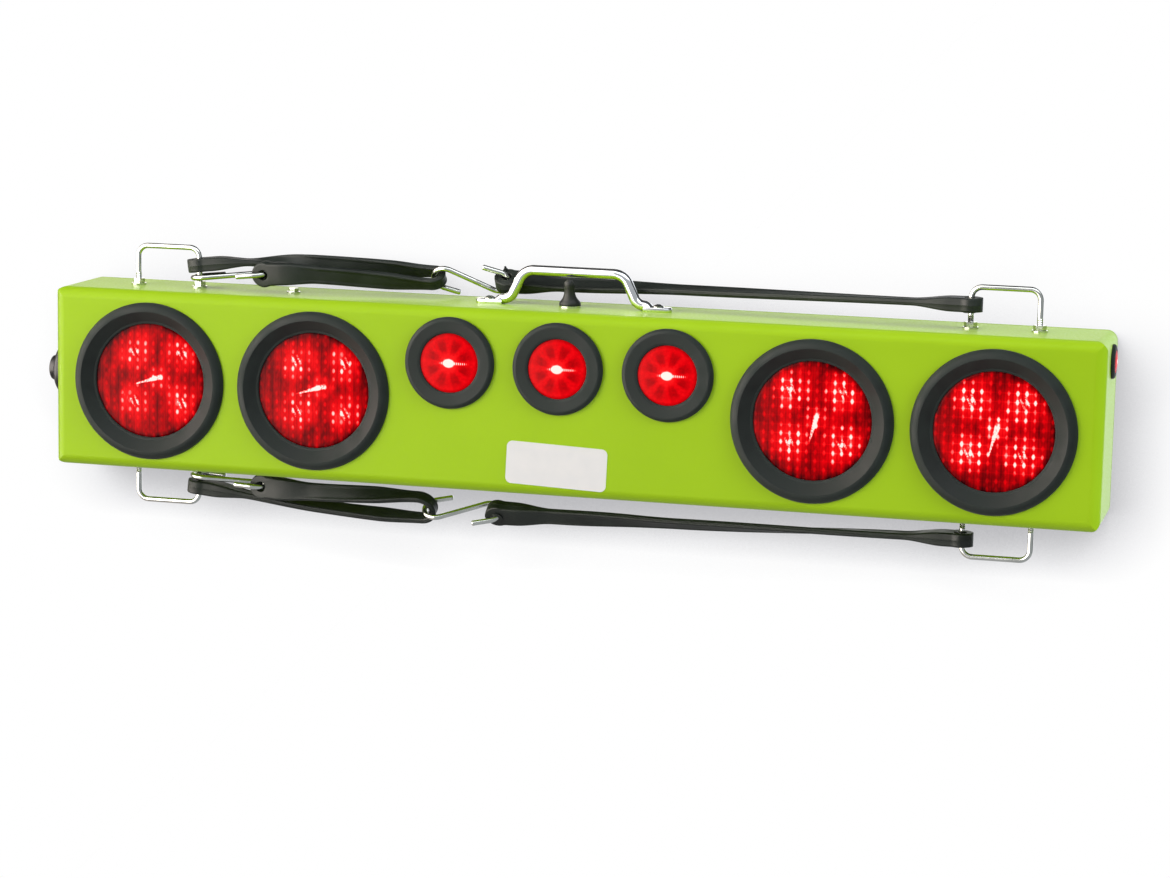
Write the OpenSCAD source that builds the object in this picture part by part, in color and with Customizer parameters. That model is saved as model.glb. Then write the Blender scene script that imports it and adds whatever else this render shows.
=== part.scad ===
// Trailer lighting board: a folded steel bar of seven red lamps, hung by rubber straps and wire bails.
// The origin is the middle of the back face. X runs along the bar, Y points back and Z up.

/* [Housing] */
// Length of the housing over its end faces
bar_l = 914.4; // [900:0.1:1200]
// Height of the housing over its top and bottom faces
bar_h = 157; // [154:0.5:180]
// Depth from the front face to the back face
bar_d = 86; // [80:0.5:110]
// Outside radius of the folded edges and corners
edge_r = 9; // [6:0.5:10]
// Thickness of the sheet that the tray is folded from
sheet_t = 1.5; // [1:0.1:2]
// Width of the flange folded in behind, which the cover is screwed to
flange_w = 14; // [12:0.5:20]

/* [Rear cover] */
// Thickness of the cover plate
cover_t = 2; // [1.5:0.1:3]
// Thickness of the foam gasket, pressed flat
gasket_t = 1.5; // [1:0.1:3]
// Screws along each long edge
cover_screws_long = 7; // [4:1:10]
// Thread diameter of the cover screws
cover_screw_d = 3.5; // [3:0.1:4]

/* [Tail lamps] */
// Distance from the end face to the centre of the outer tail lamp
end_to_lamp = 88.9; // [80:0.1:100]
// Distance between the two tail lamps of a pair
tail_pitch = 150.5; // [140:0.1:160]
// Outside radius of the tail lamp grommet
tail_rim_r = 68.75; // [66:0.05:70]
// Radius of the lens that the grommet leaves open
tail_view_r = 50.1; // [46:0.1:52]
// Radius of the hole in the sheet
tail_hole_r = 60.3; // [58:0.1:63]
// Radius of the lamp's own rim
tail_lamp_r = 54; // [53:0.1:56]
// Height of the grommet above the front face
tail_proud = 7; // [5:0.1:9]
// Depth of the lamp body behind its rim's seat
tail_depth = 32; // [28:0.5:34]
// Depth that the lamp is sunk below the grommet's mouth
tail_sunk = 5; // [0:0.5:5.5]
// Pitch of the square pillows moulded in the lens
pillow_pitch = 7.35; // [6:0.05:10]

/* [Identification lamps] */
// Distance between two identification lamps
id_pitch = 95; // [85:0.1:98]
// Distance of the identification lamps' middle below the top face
id_z = 47; // [44.5:0.1:50.5]
// Outside radius of the identification lamp grommet
id_rim_r = 39.35; // [38:0.05:41]
// Radius of the lens that the grommet leaves open
id_view_r = 25.6; // [23:0.1:27]
// Radius of the hole in the sheet
id_hole_r = 35; // [34.2:0.1:36]
// Radius of the lamp's own rim
id_lamp_r = 29.5; // [29:0.1:30]
// Height of the grommet above the front face
id_proud = 5.5; // [4.5:0.1:7]
// Depth of the lamp body behind the front face
id_depth = 22; // [20:0.5:26]
// Dark petals round the middle of the lens
id_petals = 8; // [5:1:10]

/* [End fittings] */
// Distance of the marker lamps' middle below the top face
marker_z = 21; // [20.5:0.1:28]
// Outside radius of the marker grommet
marker_rim_r = 14.3; // [13:0.1:16]
// Radius of the marker lens
marker_lens_r = 9.6; // [9:0.1:10]
// Outside radius of the charging port's round flange
port_flange_r = 23.6; // [22:0.1:28]
// Height of the port's domed flange off the end face
port_flange_h = 8.5; // [7:0.1:12]
// Outside radius of the port cap
port_cap_r = 11.8; // [11:0.1:14]
// Distance from the end face to the tip of the cap
port_reach = 21.5; // [18:0.1:26]

/* [Bails] */
// Diameter of the bail wire and the hook wire
wire_d = 4.8; // [4:0.1:5]
// Distance between the two legs of a bail
bail_w = 57.15; // [52:0.05:64]
// Height of the bail's crossbar above the housing
bail_h = 34.8; // [32:0.1:45]
// Radius of the bail's corners
bail_r = 9; // [7:0.1:11]
// Distance from the back face to the row of bails, handle and switch
row_back = 40; // [38:0.5:44]

/* [Handle and switch] */
// Diameter of the handle's rod
handle_d = 9; // [8:0.1:10]
// Height of the rod's middle above the housing
handle_h = 30.2; // [29:0.1:40]
// Length of the straight top of the handle
handle_top_l = 70; // [64:0.5:90]
// Slope of the handle's legs
handle_slope = 65; // [60:1:75]
// Offset of the switch from the middle of the bar
switch_x = -3; // [-6:0.1:6]
// Height of the switch boot above the housing
boot_h = 24.6; // [23:0.1:25]
// Lean of the switch lever to either side
lever_lean = 12; // [8:0.5:13]

/* [Straps and hooks] */
// Width of the rubber strap
strap_w = 15.5; // [14:0.1:18]
// Thickness of the rubber strap
strap_t = 5.5; // [5:0.1:6]
// Outside radius of the strap's eyes
eye_r = 11; // [10:0.1:12]
// Thickness of the strap's eyes
eye_t = 12; // [11:0.1:13]
// Radius of the hole in an eye
eye_hole_r = 4.1; // [4:0.05:4.4]
// Distance from the bail to the fold of the doubled strap
fold_run = 217.7; // [200:0.1:240]
// Distance from the fold back to the free eye of the doubled strap
free_run = 153; // [140:0.1:170]
// Radius of the S-hook's bends, to the middle of the wire
hook_r = 11; // [10.6:0.1:12]
// Distance between the middles of the two bends of a middle hook
hook_span = 46; // [42:0.1:60]

/* [Label] */
// Length of the bare label plate
label_w = 88; // [70:0.5:96]
// Height of the bare label plate
label_h = 36.5; // [30:0.5:38]
// Tilt of the label plate, as it was stuck on
label_tilt = 2; // [0:0.1:3]

/* [Battery] */
// Length of the battery
battery_l = 98; // [80:1:110]
// Height of the battery
battery_h = 66; // [50:1:72]

/* [Hidden] */

// Gap left between curved pieces that meet
gap = 0.3;
// Smoothness of round shapes
fine = 72;

half_l = bar_l / 2;
half_h = bar_h / 2;
wire_r = wire_d / 2;
row_y = -row_back;
cover_face = -cover_t;
flange_face = cover_face - gasket_t;
inner_half_h = half_h - sheet_t;

tail_x_outer = half_l - end_to_lamp;
tail_x_inner = tail_x_outer - tail_pitch;
tail_xs = [-tail_x_outer, -tail_x_inner, tail_x_inner, tail_x_outer];
id_xs = [-id_pitch, 0, id_pitch];
id_height = half_h - id_z;
marker_height = half_h - marker_z;

// The lamp rim is clamped between these two heights off the front face
rim_top = 2.2;
rim_seam = -0.6;
rim_low = -3.4;
grommet_back = 8;
grommet_lip = 1.7;
lip_overlap = 3.2;
lens_t = 2.4;
opening_r = 4;
lens_rise = 1.2;
tail_dome = 1.6;
id_dome = 1.4;
tail_skirt = 6.5;
id_skirt = 2.6;
shell_t = 2.5;

// Grooves between the pillows on the inside of the big lenses
groove_w = 0.9;
groove_depth = 0.7;

// Reflector bowls and the seat of the chips
bowl_x = 20;
bowl_r = 19;
bowl_floor = -16;
bowl_flat_r = 6;
tail_chip = 5;
id_chip = 6;
id_seat = -12;
petal_x = 15;
petal_r = 5;
petal_z = -2;

// Clearances of holes round screws, threads and plugs
hole_gap = 0.2;
thread_gap = 0.15;

// Marker lamps
marker_hole_r = marker_lens_r + 2.2;
marker_plug_l = 16;
marker_face = 4;
marker_tip = 6.2;
marker_dome_r = 14;

// Charging port
port_hole_r = 14;
port_nut_flat = 34;
port_nut_t = 6;
port_barrel_l = 18;
port_dome_r = 34;
port_nose_r = port_cap_r - 2.2;
port_nose_l = 7;
port_bore_r = port_cap_r - 4;
port_pin_x = 3;
port_pin_r = 1.2;
port_pin_l = 15;

// Bends of the bails and holes for their legs
leg_x_inner = tail_x_outer - bail_w / 2;
leg_x_outer = tail_x_outer + bail_w / 2;
leg_tail = 18;
leg_hole_r = wire_r + hole_gap;

// Flange nuts on the bail legs
nut_flat = 9.5;
nut_h = 4;
nut_flange_r = 6.6;
nut_flange_t = 1.6;

// Handle feet
foot_w = 12;
foot_t = 4;
foot_l = 24;
bend_low_r = 10;
bend_high_r = 14;
bend_rise = (bend_low_r + bend_high_r) * (1 - cos(handle_slope));
leg_rise = handle_h - handle_d / 2 - bend_rise;
leg_run = leg_rise / tan(handle_slope);
bend_run = (bend_low_r + bend_high_r) * sin(handle_slope);
handle_foot_x = handle_top_l / 2 + bend_run + leg_run;
handle_screw_x = handle_foot_x + foot_l / 2;
handle_screw_r = 2.5;
handle_head_r = 4.6;
handle_head_h = 2.6;
handle_head_dome_r = 6.6;
handle_nut_flat = 8;
inner_reach = 12;
nut_t = 4;

// Switch: nut, boot, bushing and lever
switch_nut_r = 9.4;
switch_nut_t = 1.5;
boot_r = 9.2;
boot_bell_h = 8;
boot_neck_r = 4.7;
boot_wall = 1.1;
bushing_r = 5.8;
bushing_h = 6;
switch_w = 14;
switch_l = 18;
switch_case_h = 20;
lever_pivot_z = half_h + 2.5;
lever_r = 2.4;
lever_bore_r = 4;
lever_pin_r = 0.8;
lever_pin_l = 2 * bushing_r - 0.8;
lever_ball_r = lever_bore_r - gap;
lever_l = (boot_h - 2.5 - boot_wall - gap) / cos(lever_lean) - 1;

// Cover screws
screw_head_r = cover_screw_d;
screw_head_h = cover_screw_d / 2;
screw_inset = flange_w / 2 + 0.5;
screw_tail = 8;

// Label, and the battery behind the left lamps in a band hung from a bolt
label_z = -0.656 * half_h;
label_t = 0.6;
label_corner_r = 5;
bolt_x = -252.5;
bolt_r = 3;
bolt_washer_t = 1;
bolt_head_flat = 8;
bolt_nut_flat = 10;
battery_t = 22;
battery_back = screw_tail + 3;
battery_top = inner_half_h - 3.4;
battery_front = -battery_back - battery_t;
band_t = 1.5;
band_w = 30;
band_lug = 8;

// Receiver
receiver_l = 110;
receiver_h = 60;
receiver_t = 26;
receiver_low = -40;
aerial_x = -40;
aerial_r = 3;
aerial_l = 34;

// Straps
fold_hw = 5.5;
fold_ht = 2.75;
fold_taper = 40;
strap_edge_r = 1.6;
neck_l = 48;
eye_flat_l = 13;
eye_rise = 5.2;

// A wire in an eye lies against the hole's near wall, or this far from its middle where the wire is bent
eye_seat = 1.3;

// Top row: the straps run behind the handle, on one line as [y, z] with the middle hook
top_row = [-22.4, half_h + 17];
top_leg_z = half_h + 20;
top_slope = 0.14;
top_fold_step = [-14, -9.5];
top_free_eye = [-49, half_h + 16];
top_hook_z = half_h + 10;

// Bottom row
low_row = [-40, -half_h - 25.5];
low_leg_z = -half_h - 20.2;
low_slope = -0.1;
low_fold_step = [-14, 21];
low_free_eye = [-51, -half_h - 14];
low_hook_z = -half_h - 10;

// Open ends of the hooks: straight tip and how far it turns out
hook_tip = 14;
leg_hook_flare = 12;
middle_hook_flare = 18;

fold_x = -leg_x_inner + fold_run;
free_eye_x = fold_x - free_run;

// Value eased from a to b
function mix(a, b, t) = a + (b - a) * t;
function ease(t) = t * t * (3 - 2 * t);
// Value at s along a list of [place, value] keys, eased between keys
function keyed(keys, s) =
  let (last = len(keys) - 1)
  s <= keys[0][0] ? keys[0][1]
  : s >= keys[last][0] ? keys[last][1]
  : [for (i = [0:last - 1])
      if (s >= keys[i][0] && s < keys[i + 1][0])
        mix(keys[i][1], keys[i + 1][1], ease((s - keys[i][0]) / (keys[i + 1][0] - keys[i][0])))][0];
function unit(v) = v / norm(v);

// Places its children on the front face, with local Z pointing out of it
module on_front(x, z) {
  translate([x, -bar_d, z]) rotate([90, 0, 0]) children();
}

// Places its children in a tail lamp's seat, sunk below the mouth of its grommet
module in_tail(x) {
  on_front(x, 0) translate([0, 0, -tail_sunk]) children();
}

// Places its children on an end face, with local Z pointing out of it
module on_end(side, y, z) {
  translate([side * half_l, y, z]) rotate([0, side * 90, 0]) children();
}

// Solid block with rounded front edges and corners, open behind at y = back
module round_block(l, h, front, back, r) {
  d = back - front;
  intersection() {
    translate([0, back, 0]) rotate([90, 0, 0]) linear_extrude(d) round_outline(l, h, r);
    translate([-l / 2, 0, 0]) rotate([90, 0, 90]) linear_extrude(l) front_round_outline(front, d, h, r);
    translate([0, 0, h / 2]) rotate([180, 0, 90]) linear_extrude(h) front_round_outline(front, d, l, r);
  }
}

// Outline from x = front back by d, w high, with the two front corners rounded
module front_round_outline(front, d, w, r) {
  translate([front + r, -w / 2]) square([d - r, w]);
  translate([front, r - w / 2]) square([d, w - 2 * r]);
  for (s = [-1, 1]) translate([front + r, s * (w / 2 - r)]) circle(r = r, $fn = fine);
}

// Flat plate with rounded corners, from y = front to y = back
module round_plate(l, h, front, back, r) {
  translate([0, back, 0]) rotate([90, 0, 0]) linear_extrude(back - front) round_outline(l, h, r);
}

module round_outline(l, h, r) {
  square([l - 2 * r, h], center = true);
  square([l, h - 2 * r], center = true);
  for (s = [-1, 1], t = [-1, 1]) translate([s * (l / 2 - r), t * (h / 2 - r)]) circle(r = r, $fn = fine);
}

// Cutter for a round hole in the sheet, whose outer or inner face is at z = 0
module sheet_hole(r, sides) {
  translate([0, 0, -2 * sheet_t]) cylinder(r = r, h = 4 * sheet_t, $fn = sides);
}

// Places of the cover screws, as [x, z]
function screw_places() =
  let (x = half_l - screw_inset, z = half_h - screw_inset, n = cover_screws_long)
  concat([for (i = [0:n - 1], s = [-1, 1]) [-x + 2 * x * i / (n - 1), s * z]], [[-x, 0], [x, 0]]);

module housing() {
  color("yellowgreen") difference() {
    round_block(bar_l, bar_h, -bar_d, flange_face, edge_r);
    round_block(bar_l - 2 * sheet_t, bar_h - 2 * sheet_t, -bar_d + sheet_t, flange_face - sheet_t,
      edge_r - sheet_t);
    round_plate(bar_l - 2 * flange_w, bar_h - 2 * flange_w, flange_face - 2 * sheet_t, flange_face + sheet_t,
      opening_r);
    for (x = tail_xs) on_front(x, 0) sheet_hole(tail_hole_r, fine);
    for (x = id_xs) on_front(x, id_height) sheet_hole(id_hole_r, fine);
    for (s = [-1, 1]) on_end(s, row_y, marker_height) sheet_hole(marker_hole_r, 48);
    on_end(-1, row_y, 0) sheet_hole(port_hole_r, 48);
    for (s = [-1, 1], x = [leg_x_inner, leg_x_outer], up = [0, 1])
      mirror([0, 0, up]) translate([s * x, row_y, half_h]) sheet_hole(leg_hole_r, 36);
    for (s = [-1, 1])
      translate([s * handle_screw_x, row_y, half_h]) sheet_hole(handle_screw_r + hole_gap, 36);
    translate([switch_x, row_y, half_h]) sheet_hole(bushing_r + hole_gap, 48);
    translate([bolt_x, row_y, half_h]) sheet_hole(bolt_r + hole_gap, 36);
    for (p = screw_places()) translate([p[0], flange_face, p[1]]) rotate([90, 0, 0])
      sheet_hole(cover_screw_d / 2 + thread_gap, 24);
  }
}

module rear_cover() {
  color("yellowgreen") difference() {
    round_plate(bar_l, bar_h, cover_face, 0, edge_r);
    for (p = screw_places()) translate([p[0], 0, p[1]]) rotate([90, 0, 0]) {
      translate([0, 0, -1]) cylinder(r = cover_screw_d / 2 + hole_gap, h = cover_t + 2, $fn = 24);
      translate([0, 0, -hole_gap])
        cylinder(r1 = screw_head_r + 2 * hole_gap, r2 = cover_screw_d / 2 + hole_gap,
          h = screw_head_h + 2 * hole_gap, $fn = 24);
    }
  }
}

module cover_gasket() {
  color("dimgray") difference() {
    round_plate(bar_l - 1, bar_h - 1, flange_face, cover_face, edge_r - 0.5);
    round_plate(bar_l - 2 * flange_w, bar_h - 2 * flange_w, flange_face - 1, cover_face + 1, opening_r);
    for (p = screw_places()) translate([p[0], 0, p[1]]) rotate([90, 0, 0])
      cylinder(r = cover_screw_d / 2 + 0.3, h = cover_t + gasket_t + 1, $fn = 24);
  }
}

module cover_screws() {
  shank_r = cover_screw_d / 2 - 0.1;
  color("silver") for (p = screw_places()) translate([p[0], -0.1, p[1]]) rotate([90, 0, 0]) difference() {
    union() {
      cylinder(r1 = screw_head_r, r2 = shank_r, h = screw_head_h, $fn = 24);
      cylinder(r = shank_r, h = screw_tail, $fn = 24);
    }
    cross_slot(1.15 * screw_head_r, 1);
  }
}

// Cutter for the cross in a screw's head, to both sides of z = 0 by the depth
module cross_slot(l, depth) {
  for (a = [0, 90]) rotate([0, 0, a]) cube([l, 0.2 * l, 2 * depth], center = true);
}

// Rubber ring that holds a round lamp in the sheet. Its groove takes the sheet's edge and the lamp's rim
module grommet(rim_r, view_r, hole_r, lamp_r, body_r, proud, sunk) {
  crest_r = mix(hole_r, rim_r, 0.12);
  edge_h = 0.23 * proud;
  fall = proud - edge_h;
  run = rim_r - crest_r;
  dome_r = (run * run + fall * fall) / (2 * fall);
  top = rim_top - sunk;
  low = rim_low - sunk;
  back = -grommet_back - sunk;
  lip_h = top + grommet_lip;
  color("dimgray") rotate_extrude($fn = fine) {
    polygon([
      [view_r, top + gap], [lamp_r + gap, top + gap], [lamp_r + gap, low - gap],
      [body_r + gap, low - gap], [body_r + gap, back], [hole_r + lip_overlap, back],
      [hole_r + lip_overlap, -sheet_t - gap], [hole_r - gap, -sheet_t - gap], [hole_r - gap, 0],
      [crest_r, 0], [crest_r, proud], [view_r + 2.2, lip_h + 0.9], [view_r + 0.6, lip_h + 0.5],
      [view_r, lip_h]
    ]);
    intersection() {
      translate([crest_r, proud - dome_r]) circle(r = dome_r, $fn = fine);
      translate([crest_r, 0]) square([run, proud]);
    }
  }
}

// Moulded lens: a rim, a raised window with a slight dome, and a hollow behind
module lens(view_r, lamp_r, dome) {
  face_r = view_r - gap;
  top = rim_top + lens_rise;
  hollow_r = view_r - 4;
  steps = 8;
  color("red") rotate_extrude($fn = fine) polygon(concat(
    [for (i = [0:steps]) [face_r * i / steps, top + dome * (1 - pow(i / steps, 2))]],
    [[face_r, rim_top], [lamp_r, rim_top], [lamp_r, rim_seam], [hollow_r, rim_seam], [hollow_r, top - lens_t],
      [0, top - lens_t]]
  ));
}

// Big lens, with grooves on its inside that part the pillows
module tail_lens() {
  reach = tail_view_r - 4.5;
  n = floor(reach / pillow_pitch);
  color("red") difference() {
    lens(tail_view_r, tail_lamp_r, tail_dome);
    for (i = [-n:n], turn = [0, 90])
      let (l = sqrt(reach * reach - pow(i * pillow_pitch, 2)))
      rotate([0, 0, turn]) translate([-l, i * pillow_pitch - groove_w / 2, rim_top + lens_rise - lens_t - 1])
        cube([2 * l, groove_w, groove_depth + 1]);
  }
}

// Cup behind the lens, with the connector boss at its back
module lamp_body(lamp_r, depth, wall) {
  body_r = lamp_r - tail_skirt;
  color("black") {
    difference() {
      union() {
        translate([0, 0, rim_low]) cylinder(r = lamp_r, h = rim_seam - rim_low, $fn = fine);
        translate([0, 0, -depth]) cylinder(r = body_r, h = depth + rim_low, $fn = fine);
      }
      translate([0, 0, wall - depth]) cylinder(r = body_r - wall, h = depth, $fn = fine);
    }
    translate([-11, -7, -depth - 8]) cube([22, 14, 8]);
  }
}

// Bright reflector with four bowls, one for each group of chips
module tail_reflector() {
  plate_r = tail_lamp_r - tail_skirt - shell_t - gap;
  color("silver") difference() {
    translate([0, 0, bowl_floor - 2]) cylinder(r = plate_r, h = rim_low - bowl_floor + 2, $fn = fine);
    for (sx = [-1, 1], sy = [-1, 1]) translate([sx * bowl_x, sy * bowl_x, bowl_floor + bowl_r])
      sphere(r = bowl_r, $fn = fine);
    for (sx = [-1, 1], sy = [-1, 1]) translate([sx * bowl_x, sy * bowl_x, bowl_floor])
      cylinder(r = bowl_flat_r, h = 30, $fn = 36);
  }
}

// One flat chip on its square carrier
module chip(size) {
  translate([-size / 2, -size / 2, 0]) cube([size, size, 1.2]);
  translate([0, 0, 1.2]) cylinder(r = size / 3, h = 0.8, $fn = 24);
}

module lamp_chips() {
  color("lightyellow") {
    for (x = tail_xs, sx = [-1, 1], sy = [-1, 1])
      in_tail(x) translate([sx * bowl_x, sy * bowl_x, bowl_floor]) chip(tail_chip);
    for (x = id_xs) on_front(x, id_height) translate([0, 0, id_seat]) chip(id_chip);
  }
}

// Body of an identification lamp, with a cone of petals round the chip
module id_body() {
  body_r = id_lamp_r - id_skirt;
  color("dimgray") difference() {
    union() {
      translate([0, 0, rim_low]) cylinder(r = id_lamp_r, h = rim_seam - rim_low, $fn = fine);
      translate([0, 0, -id_depth]) cylinder(r = body_r, h = id_depth + rim_low, $fn = fine);
    }
    translate([0, 0, id_seat]) cylinder(r1 = 5, r2 = 21, h = -id_seat, $fn = fine);
    for (i = [0:id_petals - 1]) rotate([0, 0, i * 360 / id_petals])
      translate([petal_x, 0, petal_z]) sphere(r = petal_r, $fn = 36);
  }
}

module marker_grommet(side) {
  color("dimgray") on_end(side, row_y, marker_height) rotate_extrude($fn = 48) polygon([
    [marker_lens_r + gap, -7], [marker_hole_r + 1.6, -7], [marker_hole_r + 1.6, -sheet_t - gap],
    [marker_hole_r - gap, -sheet_t - gap], [marker_hole_r - gap, 0], [marker_rim_r, 0], [marker_rim_r, 1.4],
    [marker_rim_r - 0.8, 2.6], [marker_rim_r - 2.4, 3.2], [marker_lens_r + gap, 3.2]
  ]);
}

// Sealed marker lamp: a bullet lens on a round plug, with a collar behind the grommet
module marker_lamp(side) {
  color("red") on_end(side, row_y, marker_height) {
    translate([0, 0, -marker_plug_l]) cylinder(r = marker_lens_r, h = marker_plug_l + marker_face, $fn = 48);
    intersection() {
      translate([0, 0, marker_face - 0.1]) cylinder(r = marker_lens_r, h = 4, $fn = 48);
      translate([0, 0, marker_tip - marker_dome_r]) sphere(r = marker_dome_r, $fn = 48);
    }
    translate([0, 0, -9.3]) cylinder(r = marker_lens_r + 1.4, h = 2, $fn = 48);
  }
}

// U-bolt of wire: two legs through the sheet, two round corners and a crossbar
module bail(side, up) {
  top = half_h + bail_h;
  color("silver") translate([side * tail_x_outer, row_y, 0]) mirror([0, 0, up > 0 ? 0 : 1]) {
    for (s = [-1, 1]) {
      translate([s * bail_w / 2, 0, half_h - leg_tail])
        cylinder(r = wire_r, h = leg_tail + bail_h - bail_r, $fn = 36);
      translate([s * (bail_w / 2 - bail_r), 0, top - bail_r]) rotate([90, 0, 0]) mirror([s > 0 ? 0 : 1, 0, 0])
        rotate_extrude(angle = 90, $fn = fine) translate([bail_r, 0]) circle(r = wire_r, $fn = 36);
    }
    translate([bail_r - bail_w / 2, 0, top]) rotate([0, 90, 0])
      cylinder(r = wire_r, h = bail_w - 2 * bail_r, $fn = 36);
  }
}

// Hexagon nut with a round flange, standing on z = 0
module flange_nut() {
  difference() {
    union() {
      cylinder(r = nut_flange_r, h = nut_flange_t, $fn = 36);
      cylinder(r = nut_flat / sqrt(3), h = nut_flange_t + nut_h, $fn = 6);
    }
    translate([0, 0, -1]) cylinder(r = wire_r + thread_gap, h = nut_h + 5, $fn = 36);
  }
}

module bail_nuts() {
  color("silver") for (s = [-1, 1], x = [leg_x_inner, leg_x_outer], up = [0, 1])
    mirror([0, 0, up]) translate([s * x, row_y, 0]) {
      translate([0, 0, half_h]) flange_nut();
      translate([0, 0, inner_half_h]) mirror([0, 0, 1]) flange_nut();
    }
}

// Rod swept along a flat path, each station [[x, y], half width along Z, half thickness in the plane]
module flat_rod(stations, sides) {
  last = len(stations) - 1;
  points = [for (i = [0:last])
    let (t = unit(stations[min(i + 1, last)][0] - stations[max(i - 1, 0)][0]))
    for (k = [0:sides - 1])
      let (middle = stations[i][0], out = stations[i][2] * cos(360 * k / sides))
      [middle[0] - t[1] * out, middle[1] + t[0] * out, stations[i][1] * sin(360 * k / sides)]];
  skin(points, last, sides);
}

// Closed skin over rings of points, listed ring after ring
module skin(points, last, n) {
  sides = [for (i = [0:last - 1], k = [0:n - 1], half = [0, 1])
    let (a = i * n + k, b = i * n + (k + 1) % n)
    half == 0 ? [a, a + n, b + n] : [a, b + n, b]];
  caps = [[for (k = [0:n - 1]) k], [for (k = [n - 1:-1:0]) last * n + k]];
  polyhedron(points = points, faces = concat(sides, caps));
}

// Left half of the rod's path: out of the foot, round the lower bend, up the leg and round the upper bend
function handle_path() =
  let (r = handle_d / 2, low = r + 0.1, n = 6)
  concat(
    [[[-handle_foot_x - 6, foot_t / 2], foot_w / 2 - 0.6, foot_t / 2 - 0.15],
      [[-handle_foot_x - 3, mix(foot_t / 2, low, 0.6)], mix(foot_w / 2, r, 0.5), mix(foot_t / 2, r, 0.6)]],
    [for (i = [0:n])
      let (a = handle_slope * i / n)
      [[-handle_foot_x + bend_low_r * sin(a), low + bend_low_r * (1 - cos(a))], r, r]],
    [for (i = [n:-1:0])
      let (a = handle_slope * i / n)
      [[-handle_top_l / 2 - bend_high_r * sin(a), handle_h - bend_high_r * (1 - cos(a))], r, r]]
  );

module handle() {
  left = handle_path();
  right = [for (i = [len(left) - 1:-1:0]) [[-left[i][0][0], left[i][0][1]], left[i][1], left[i][2]]];
  color("silver") translate([0, row_y, half_h]) {
    rotate([90, 0, 0]) flat_rod(concat(left, right), 16);
    for (s = [0, 1]) mirror([s, 0, 0]) difference() {
      union() {
        translate([handle_foot_x, -foot_w / 2, 0]) cube([foot_l - foot_w / 2, foot_w, foot_t]);
        translate([handle_foot_x + foot_l - foot_w / 2, 0, 0]) cylinder(r = foot_w / 2, h = foot_t, $fn = 48);
      }
      translate([handle_screw_x, 0, -1]) cylinder(r = handle_screw_r + hole_gap, h = foot_t + 2, $fn = 36);
    }
  }
}

// Truss-head screws through the handle's feet, with their nuts inside
module handle_screws() {
  color("silver") for (s = [-1, 1]) translate([s * handle_screw_x, row_y, 0]) {
    difference() {
      union() {
        translate([0, 0, half_h + foot_t]) intersection() {
          cylinder(r = handle_head_r, h = handle_head_h, $fn = 36);
          translate([0, 0, handle_head_h - handle_head_dome_r]) sphere(r = handle_head_dome_r, $fn = 48);
        }
        translate([0, 0, half_h - inner_reach])
          cylinder(r = handle_screw_r, h = foot_t + inner_reach, $fn = 36);
      }
      translate([0, 0, half_h + foot_t + handle_head_h]) cross_slot(handle_head_r, 0.6 * handle_head_h);
    }
    translate([0, 0, inner_half_h - nut_t]) difference() {
      cylinder(r = handle_nut_flat / sqrt(3), h = nut_t, $fn = 6);
      translate([0, 0, -1]) cylinder(r = handle_screw_r + thread_gap, h = nut_t + 2, $fn = 36);
    }
  }
}

module switch_body() {
  color("dimgray") translate([switch_x, row_y, 0]) difference() {
    union() {
      translate([-switch_w / 2, -switch_l / 2, inner_half_h - switch_case_h])
        cube([switch_w, switch_l, switch_case_h]);
      translate([0, 0, inner_half_h - 1]) cylinder(r = bushing_r, h = sheet_t + bushing_h + 1, $fn = 48);
      for (x = [-4, 0, 4]) translate([x - 0.5, -2.5, inner_half_h - switch_case_h - 7]) cube([1, 5, 8]);
    }
    translate([0, 0, lever_pivot_z - lever_bore_r]) cylinder(r = lever_bore_r, h = 20, $fn = 36);
    translate([-switch_w / 2, 0, lever_pivot_z]) rotate([0, 90, 0])
      cylinder(r = lever_pin_r + hole_gap, h = switch_w, $fn = 24);
  }
}

module switch_nut() {
  color("silver") translate([switch_x, row_y, half_h]) difference() {
    cylinder(r = switch_nut_r, h = switch_nut_t, $fn = 48);
    translate([0, 0, -1]) cylinder(r = bushing_r + thread_gap, h = switch_nut_t + 2, $fn = 48);
  }
}

// Leans its children forward about the lever's pivot
module at_lever() {
  translate([switch_x, row_y, lever_pivot_z]) rotate([lever_lean, 0, 0]) children();
}

module switch_lever() {
  color("silver") at_lever() {
    sphere(r = lever_ball_r, $fn = 36);
    translate([-lever_pin_l / 2, 0, 0]) rotate([0, 90, 0])
      cylinder(r = lever_pin_r, h = lever_pin_l, $fn = 24);
    cylinder(r1 = lever_r - 0.4, r2 = lever_r, h = lever_l - lever_r, $fn = 36);
    translate([0, 0, lever_l - lever_r]) sphere(r = lever_r, $fn = 36);
  }
}

// Rubber boot: a bell on the nut and a closed neck over the lever
module switch_boot() {
  neck_top = lever_l - lever_r;
  color("dimgray") difference() {
    union() {
      translate([switch_x, row_y, half_h + switch_nut_t]) rotate_extrude($fn = 48) polygon([
        [0, 0], [boot_r, 0], [boot_r, 2.6], [boot_r - 1.2, 4.2], [boot_neck_r + 1.2, boot_bell_h],
        [boot_neck_r, boot_bell_h + 2], [0, boot_bell_h + 2]
      ]);
      at_lever() {
        cylinder(r = boot_neck_r - 0.3, h = neck_top, $fn = 48);
        translate([0, 0, neck_top]) sphere(r = boot_neck_r - 0.3, $fn = 48);
      }
    }
    translate([switch_x, row_y, half_h]) cylinder(r = bushing_r + gap, h = bushing_h + 0.6, $fn = 48);
    at_lever() {
      cylinder(r = lever_r + gap, h = neck_top, $fn = 36);
      translate([0, 0, neck_top]) sphere(r = lever_r + gap, $fn = 36);
    }
  }
}

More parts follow.
